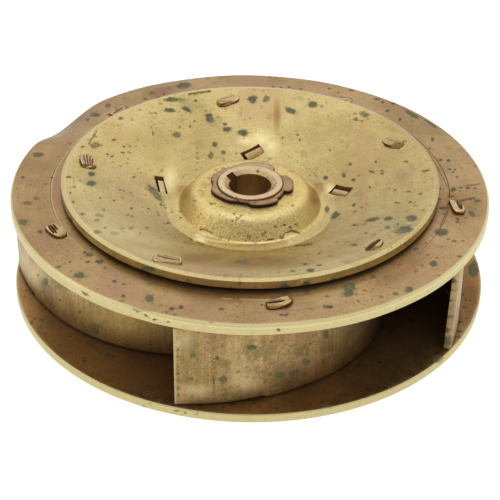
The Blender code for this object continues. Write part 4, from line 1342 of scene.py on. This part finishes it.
def chisel(head, x, y):
    """How deep the cuts of a head are at each place, with the lips beside them, and how dark they are
    painted as shade.
    """
    depths, darkness = np.zeros(x.shape), np.zeros(x.shape)
    for x0, y0, x1, y1, width, depth in head.cuts:
        span = np.array((x1 - x0, y1 - y0))
        share = ((x - x0) * span[0] + (y - y0) * span[1]) / np.linalg.norm(span) ** 2
        nearest = np.clip(share, 0, 1)
        away = np.hypot(x - x0 - nearest * span[0], y - y0 - nearest * span[1])
        taper = 0.4 + 0.6 * np.sin(pi * np.clip(0.1 + 0.8 * nearest, 0, 1))
        inside = np.clip(1 - away / (width * taper), 0, 1)
        lip = bell(away - 1.15 * width * taper, 0.25 * width)
        depths += depth * np.minimum(1, 1.6 * inside) - 0.12 * depth * lip
        darkness = np.maximum(darkness, inside * min(1, 1.6 * depth))
    return depths, darkness


def head_part(matrix, head, seed):
    """A staked tab end: a flat lozenge with steep sides and cuts across it. It comes with its
    painted layers."""
    own = np.random.default_rng(seed)
    angle = np.arange(HEAD_SIDES) * (2 * pi / HEAD_SIDES)
    shape = (np.abs(np.cos(angle)) ** head.power + np.abs(np.sin(angle)) ** head.power) ** (-1 / head.power)
    shape *= 1 + 0.03 * np.sin(2 * angle + own.uniform(0, 6)) + 0.02 * np.sin(5 * angle + own.uniform(0, 6))
    shares = np.concatenate([[0.98, 1.0, 1.0, 0.97, 0.93], np.linspace(0.88, 0.03, HEAD_RINGS)])[:, None]
    rises = np.concatenate([[-0.8, 0.2, 0.6, 0.84, 0.95], np.ones(HEAD_RINGS)])[:, None]
    x = shares * shape * np.cos(angle) * head.length / 2
    y = shares * shape * np.sin(angle) * head.width / 2
    top = head.height + 0.05 * ripple(x, y, 1.5, 5, seed)
    for turn, distance, slope in head.bevels:
        top = top - slope * np.clip(x * cos(radians(turn)) + y * sin(radians(turn)) - distance, 0, None)
    depths, darkness = chisel(head, x, y)
    top = top - depths
    z = np.where(rises < 0, rises, np.maximum(rises * top, 0.08))
    side = (rises < 0.7) * fall(z, 0, 0.35 * head.height)
    smooth = (rises > 0.9) * (darkness < 0.1) * (top > 0.8 * head.height)
    edge = (shares > 0.86) & (shares < 0.95)
    # The cuts and the foot of the sides are painted dark as shade, the sides and the lower parts of the top
    # are browned as shade as well as tarnish, and the high smooth top takes a painted highlight, strongest
    # near its edge.
    layers = {
        "grime": np.maximum(0.9 * ramp(darkness, 0.15, 0.5), 0.7 * side),
        "umber": np.clip(1.7 * (1 - top / head.height), 0, 0.95) + 0.9 * (rises < 0.9),
        "glow": ramp(head.height, 0.5, 1.0) * smooth * (0.1 + 0.35 * edge),
    }
    points = np.stack([x, y, z], axis=-1).reshape(-1, 3) * MM
    layers = {name: (values + 0 * x).reshape(-1) for name, values in layers.items()}
    return placed(points, matrix), capped_faces(len(shares), HEAD_SIDES), layers


def block_part(matrix, length, width, bottom, top, brightness=0.3, shade=0.0):
    """A tab shank with eased edges. Its sides are painted dark as shade, most at the foot, one half of
    its end is painted brown as shade, and the rest of its end takes a painted highlight. It comes with
    its painted layers."""
    ease = 0.25 * MM
    around = rounded_line([(*corner, ease) for corner in rectangle(length, width)], FINE)
    heights = bottom, top - ease, top - 0.3 * ease, top, top, top - 0.1 * MM
    rings = list(zip(heights, (1, 1, 0.96, 0.88, 0.5, 0.1)))
    points = np.concatenate([np.column_stack([around * s, np.full(len(around), z)]) for z, s in rings])
    side = np.repeat([1.0, 0.7, 0.2, 0.0, 0.0, 0.1], len(around))
    brown = shade * ramp(points[:, 1], -0.05 * width, 0.15 * width)
    layers = {
        "grime": 0.5 * side,
        "umber": np.maximum(side, brown),
        "glow": brightness * (1 - side) * (1 - brown),
    }
    return placed(points, matrix), capped_faces(len(rings), len(around)), layers


def turned_over(part):
    """A part that a mirroring matrix has placed, with its faces turned out again."""
    points, faces, layers = part
    return points, [face[::-1] for face in faces], layers


def make_vane_tabs(vane, surface, finish):
    """The ends of one vane's tabs: the staked heads, and the shanks in their slots."""
    ring_head, plate_head, slot = RING_HEADS[vane], PLATE_HEADS[vane], INNER_SLOTS[vane]
    outer = dict(vane=vane, along=ring_head.along, across=ring_head.across)
    middle = dict(vane=vane, along=plate_head.along, across=plate_head.across)
    height, slope = height_on(surface, vane_radius(MIDDLE_TAB_TURN))
    along, across = slot.along + slot.tab_along, slot.across + slot.tab_across
    inner = tab_matrix(INNER_TAB_TURN, *height_on(surface, vane_radius(INNER_TAB_TURN)), vane, along, across)
    length, width = slot.tab_length * MM, slot.tab_width * MM
    low, high = -PLATE_THICKNESS - 3 * MM, -slot.tab_depth * MM
    under_plate = height - PLATE_THICKNESS - 2 * MM
    on_plate = tab_matrix(MIDDLE_TAB_TURN, height, slope * plate_head.follow, **middle)
    shank = TAB_LENGTH, TAB_THICKNESS
    parts = [
        head_part(tab_matrix(OUTER_TAB_TURN, RING_TOP, **outer), ring_head, 10 + vane),
        head_part(on_plate, plate_head, 20 + vane),
        block_part(tab_matrix(OUTER_TAB_TURN, **outer), *shank, RING_BOTTOM - MM, RING_TOP),
        block_part(tab_matrix(MIDDLE_TAB_TURN, **middle), *shank, under_plate, height),
        block_part(inner, length, width, low, high, slot.brightness, slot.shade),
    ]
    for turn in (OUTER_TAB_TURN, MIDDLE_TAB_TURN, LOWER_INNER_TAB_TURN):
        foot = tab_matrix(turn, vane=vane) @ Matrix.Diagonal((1, 1, -1, 1))
        parts.append(turned_over(block_part(foot, *shank, -LOWER_THICKNESS - MM, -LOWER_TAB_END)))
    points, faces = join_parts([part[:2] for part in parts])
    piece = make_mesh(f"vane_{vane + 1}_tabs", points, faces, sharp=radians(45))
    names = ("grime", "umber", "glow")
    Surface(piece).paint(**{name: np.concatenate([layers[name] for *_, layers in parts]) for name in names})
    finish_piece(piece, finish)


def green_groove(angle):
    """Where the groove round the sleeve has gone green: on its left and its far right."""
    left, far_right = np.abs(np.cos(angle / 2)) < 0.5, np.abs(angle - radians(52)) < radians(20)
    return np.where(left | far_right, 1.0, 0.0)


def make_sleeve(finish):
    flange_top = DOME_TOP - PLATE_THICKNESS - RUNNING_GAP
    corners = (
        (BORE_RADIUS, SLEEVE_BOTTOM, 0.4 * MM),
        (BORE_RADIUS, SLEEVE_TOP - BORE_CHAMFER_DEPTH, 0.3 * MM),
        (BORE_RADIUS + BORE_CHAMFER_WIDTH, SLEEVE_TOP, 0.3 * MM),
        (SLEEVE_RADIUS, SLEEVE_TOP, 0.4 * MM),
        (SLEEVE_RADIUS, flange_top, 0),
        (FLANGE_RADIUS, flange_top, 0.3 * MM),
        (FLANGE_RADIUS, flange_top - FLANGE_THICKNESS, 0.3 * MM),
        (SLEEVE_RADIUS, flange_top - FLANGE_THICKNESS, 0),
        (SLEEVE_RADIUS, SLEEVE_BOTTOM, 0.4 * MM),
    )
    outline = rounded_line(corners, (*[FINE] * 4, COARSE, FINE, FINE, COARSE, COARSE))
    points = turned_points(outline, SLEEVE_STEPS)
    x, y, z = (points[..., axis] for axis in range(3))
    swell = 1 + 0.012 * ramp(z, SLEEVE_TOP - 2 * MM, SLEEVE_TOP) * ripple(x, y, 8 * MM, 20 * MM, seed=31)
    inner = x**2 + y**2 < (BORE_RADIUS + BORE_CHAMFER_WIDTH + 0.2 * MM) ** 2
    points[..., :2] *= np.where(inner, swell, 1)[..., None]
    piece = make_closed("hub_sleeve_turned", points)
    reach = BORE_RADIUS + KEYWAY_DEPTH
    keyway = Matrix.Rotation(KEYWAY_ANGLE, 4, "Z") @ Matrix.Translation((reach / 2, 0, 0))
    cut(piece, [box_part(keyway, reach, KEYWAY_WIDTH, SLEEVE_BOTTOM - CUT_MARGIN, SLEEVE_TOP + CUT_MARGIN)])
    s = Surface(piece)
    inside = (s.radius < BORE_RADIUS + 0.3 * MM) | (s.height < SLEEVE_TOP - 1.5 * MM)
    outer = ramp(s.radius, SLEEVE_RADIUS - 0.45 * MM, SLEEVE_RADIUS - 0.1 * MM)
    groove = outer * (s.height > SLEEVE_TOP - 3 * MM)
    green = green_groove(s.angle)
    # Inside the bore and below the top, the sleeve is browned and darkened downwards as painted shade, with
    # a golden tone; its top face takes a painted highlight.
    s.paint(
        umber=0.5 * inside,
        gold=0.35 * inside,
        grime=0.12 * inside * fall(s.height, SLEEVE_TOP - 18 * MM, SLEEVE_TOP),
        spot=groove * green,
        line=0.25 * groove * (1 - green),
        pit=s.scattered(s.height > SLEEVE_TOP - MM, SLEEVE_PITS, seed=41),
        glow=0.28 * ramp(s.height, SLEEVE_TOP - 0.3 * MM, SLEEVE_TOP),
    )
    finish_piece(piece, finish, "hub_sleeve")


def collar_radii(angles):
    """The radius of the hammered collar at each angle, from its outline in the photograph."""
    places = np.array([on_level(*pixel, COLLAR_TOP) for pixel in COLLAR_OUTLINE])
    known = np.arctan2(places[:, 1], places[:, 0])
    order = np.argsort(known)
    return np.interp(angles, known[order], np.hypot(places[:, 0], places[:, 1])[order], period=2 * pi)


def collar_section(angle, outer):
    """One section of the collar, which rises to a low lip at its back."""
    inner, bottom = COLLAR_INNER_RADIUS, DOME_TOP + RUNNING_GAP
    top = COLLAR_TOP - 0.3 * MM + 0.25 * MM * ramp(sin(angle), 0.5, 0.9)
    line = (
        (inner, bottom),
        (inner, top - 0.3 * MM),
        (inner + 0.3 * MM, top),
        (inner + 0.35 * (outer - inner), top + 0.04 * MM),
        (inner + 0.6 * (outer - inner), top),
        (outer - 0.6 * MM, top - 0.06 * MM),
        (outer - 0.25 * MM, top - 0.2 * MM),
        (outer, top - 0.55 * MM),
        (outer, bottom + 0.2 * MM),
        (outer - 0.2 * MM, bottom),
        ((inner + outer) / 2, bottom),
    )
    return [(r * cos(angle), r * sin(angle), z) for r, z in line]


def make_collar(finish):
    angles = np.arange(COLLAR_STEPS) * (2 * pi / COLLAR_STEPS)
    points = np.array([collar_section(angle, outer) for angle, outer in zip(angles, collar_radii(angles))])
    x, y, z = (points[..., axis] for axis in range(3))
    z += 0.03 * MM * ripple(x, y, 3 * MM, 9 * MM, seed=51) * (z > COLLAR_TOP - 0.8 * MM)
    np.minimum(z, COLLAR_TOP, out=z)
    piece = make_closed("hub_collar_hammered", points)
    s = Surface(piece)
    low = fall(s.height, COLLAR_TOP - 0.8 * MM, COLLAR_TOP - 0.5 * MM)
    out = s.radius - COLLAR_INNER_RADIUS
    # The collar's lower side is painted dark as shade, and the top of its back lip takes a painted
    # highlight.
    s.paint(
        umber=low,
        grime=0.75 * low,
        spot=fall(out, 0.1 * MM, 0.45 * MM) * green_groove(s.angle),
        line=0.2 * fall(out, 0.1 * MM, 0.35 * MM),
        pit=s.scattered(s.height > COLLAR_TOP - MM, COLLAR_PITS, seed=42),
        glow=0.3 * ramp(s.back, 0.6, 0.9) * ramp(s.height, COLLAR_TOP - 0.2 * MM, COLLAR_TOP),
    )
    finish_piece(piece, finish, "hub_collar")


def make_floor():
    side = 2 * FLOOR_HALF_SIDE
    corners = np.array([(x, y, 0) for x, y in rectangle(side, side)])
    floor = make_mesh("floor", corners, [(0, 1, 2, 3)])
    white = Finish("floor_white")
    white.set("Base Color", (0.35, 0.35, 0.35, 1))
    white.set("Roughness", 0.9)
    white.set("Specular IOR Level", 0.1)
    white.set("Emission Color", (1, 1, 1, 1))
    white.set("Emission Strength", 0.85)
    floor.data.materials.append(white.material)


def make_world():
    """A white studio: bright overhead and behind, dimmer towards the camera and the horizon."""
    world = bpy.data.worlds.new("studio")
    n = Nodes(world)
    split = n.node("ShaderNodeSeparateXYZ", {0: n.node("ShaderNodeTexCoord").outputs["Generated"]})
    by_height = n.band(split.outputs[2], -0.05, 0.9, 0.80, 1.12, "LINEAR")
    by_depth = n.band(split.outputs[1], -1.0, 0.3, 0.65, 1.0, "LINEAR")
    background = n.tree.nodes["Background"]
    n.give(background.inputs["Color"], (1, 1, 1, 1))
    n.give(background.inputs["Strength"], n.times(by_height, by_depth))
    bpy.context.scene.world = world


def make_lights():
    for name, (place, width, height, power) in SOFTBOXES.items():
        data = bpy.data.lights.new(name, "AREA")
        data.shape = "RECTANGLE"
        data.size, data.size_y = width, height
        data.energy = power
        light = link(name, data)
        light.location = place
        light.rotation_euler = (Vector(LIGHT_TARGET) - Vector(place)).to_track_quat("-Z", "Y").to_euler()


def main():
    bpy.context.scene.view_settings.view_transform = "Standard"
    make_camera()
    make_world()
    make_lights()
    make_floor()
    make_lower_shroud(Brass("lower_brass"))
    make_upper_shroud(Brass("ring_brass"))
    make_hub_plate(Brass("plate_brass"))
    surface = plate_surface(FINE, FINE_ARC)
    underside = offset_down(surface, PLATE_THICKNESS)
    vane_brass, tab_brass = Brass("vane_brass"), Brass("tab_brass")
    for vane in range(VANES):
        make_vane_sheet(vane, underside, vane_brass)
        make_vane_tabs(vane, surface, tab_brass)
    make_sleeve(Brass("sleeve_bronze"))
    make_collar(Brass("collar_bronze"))


main()
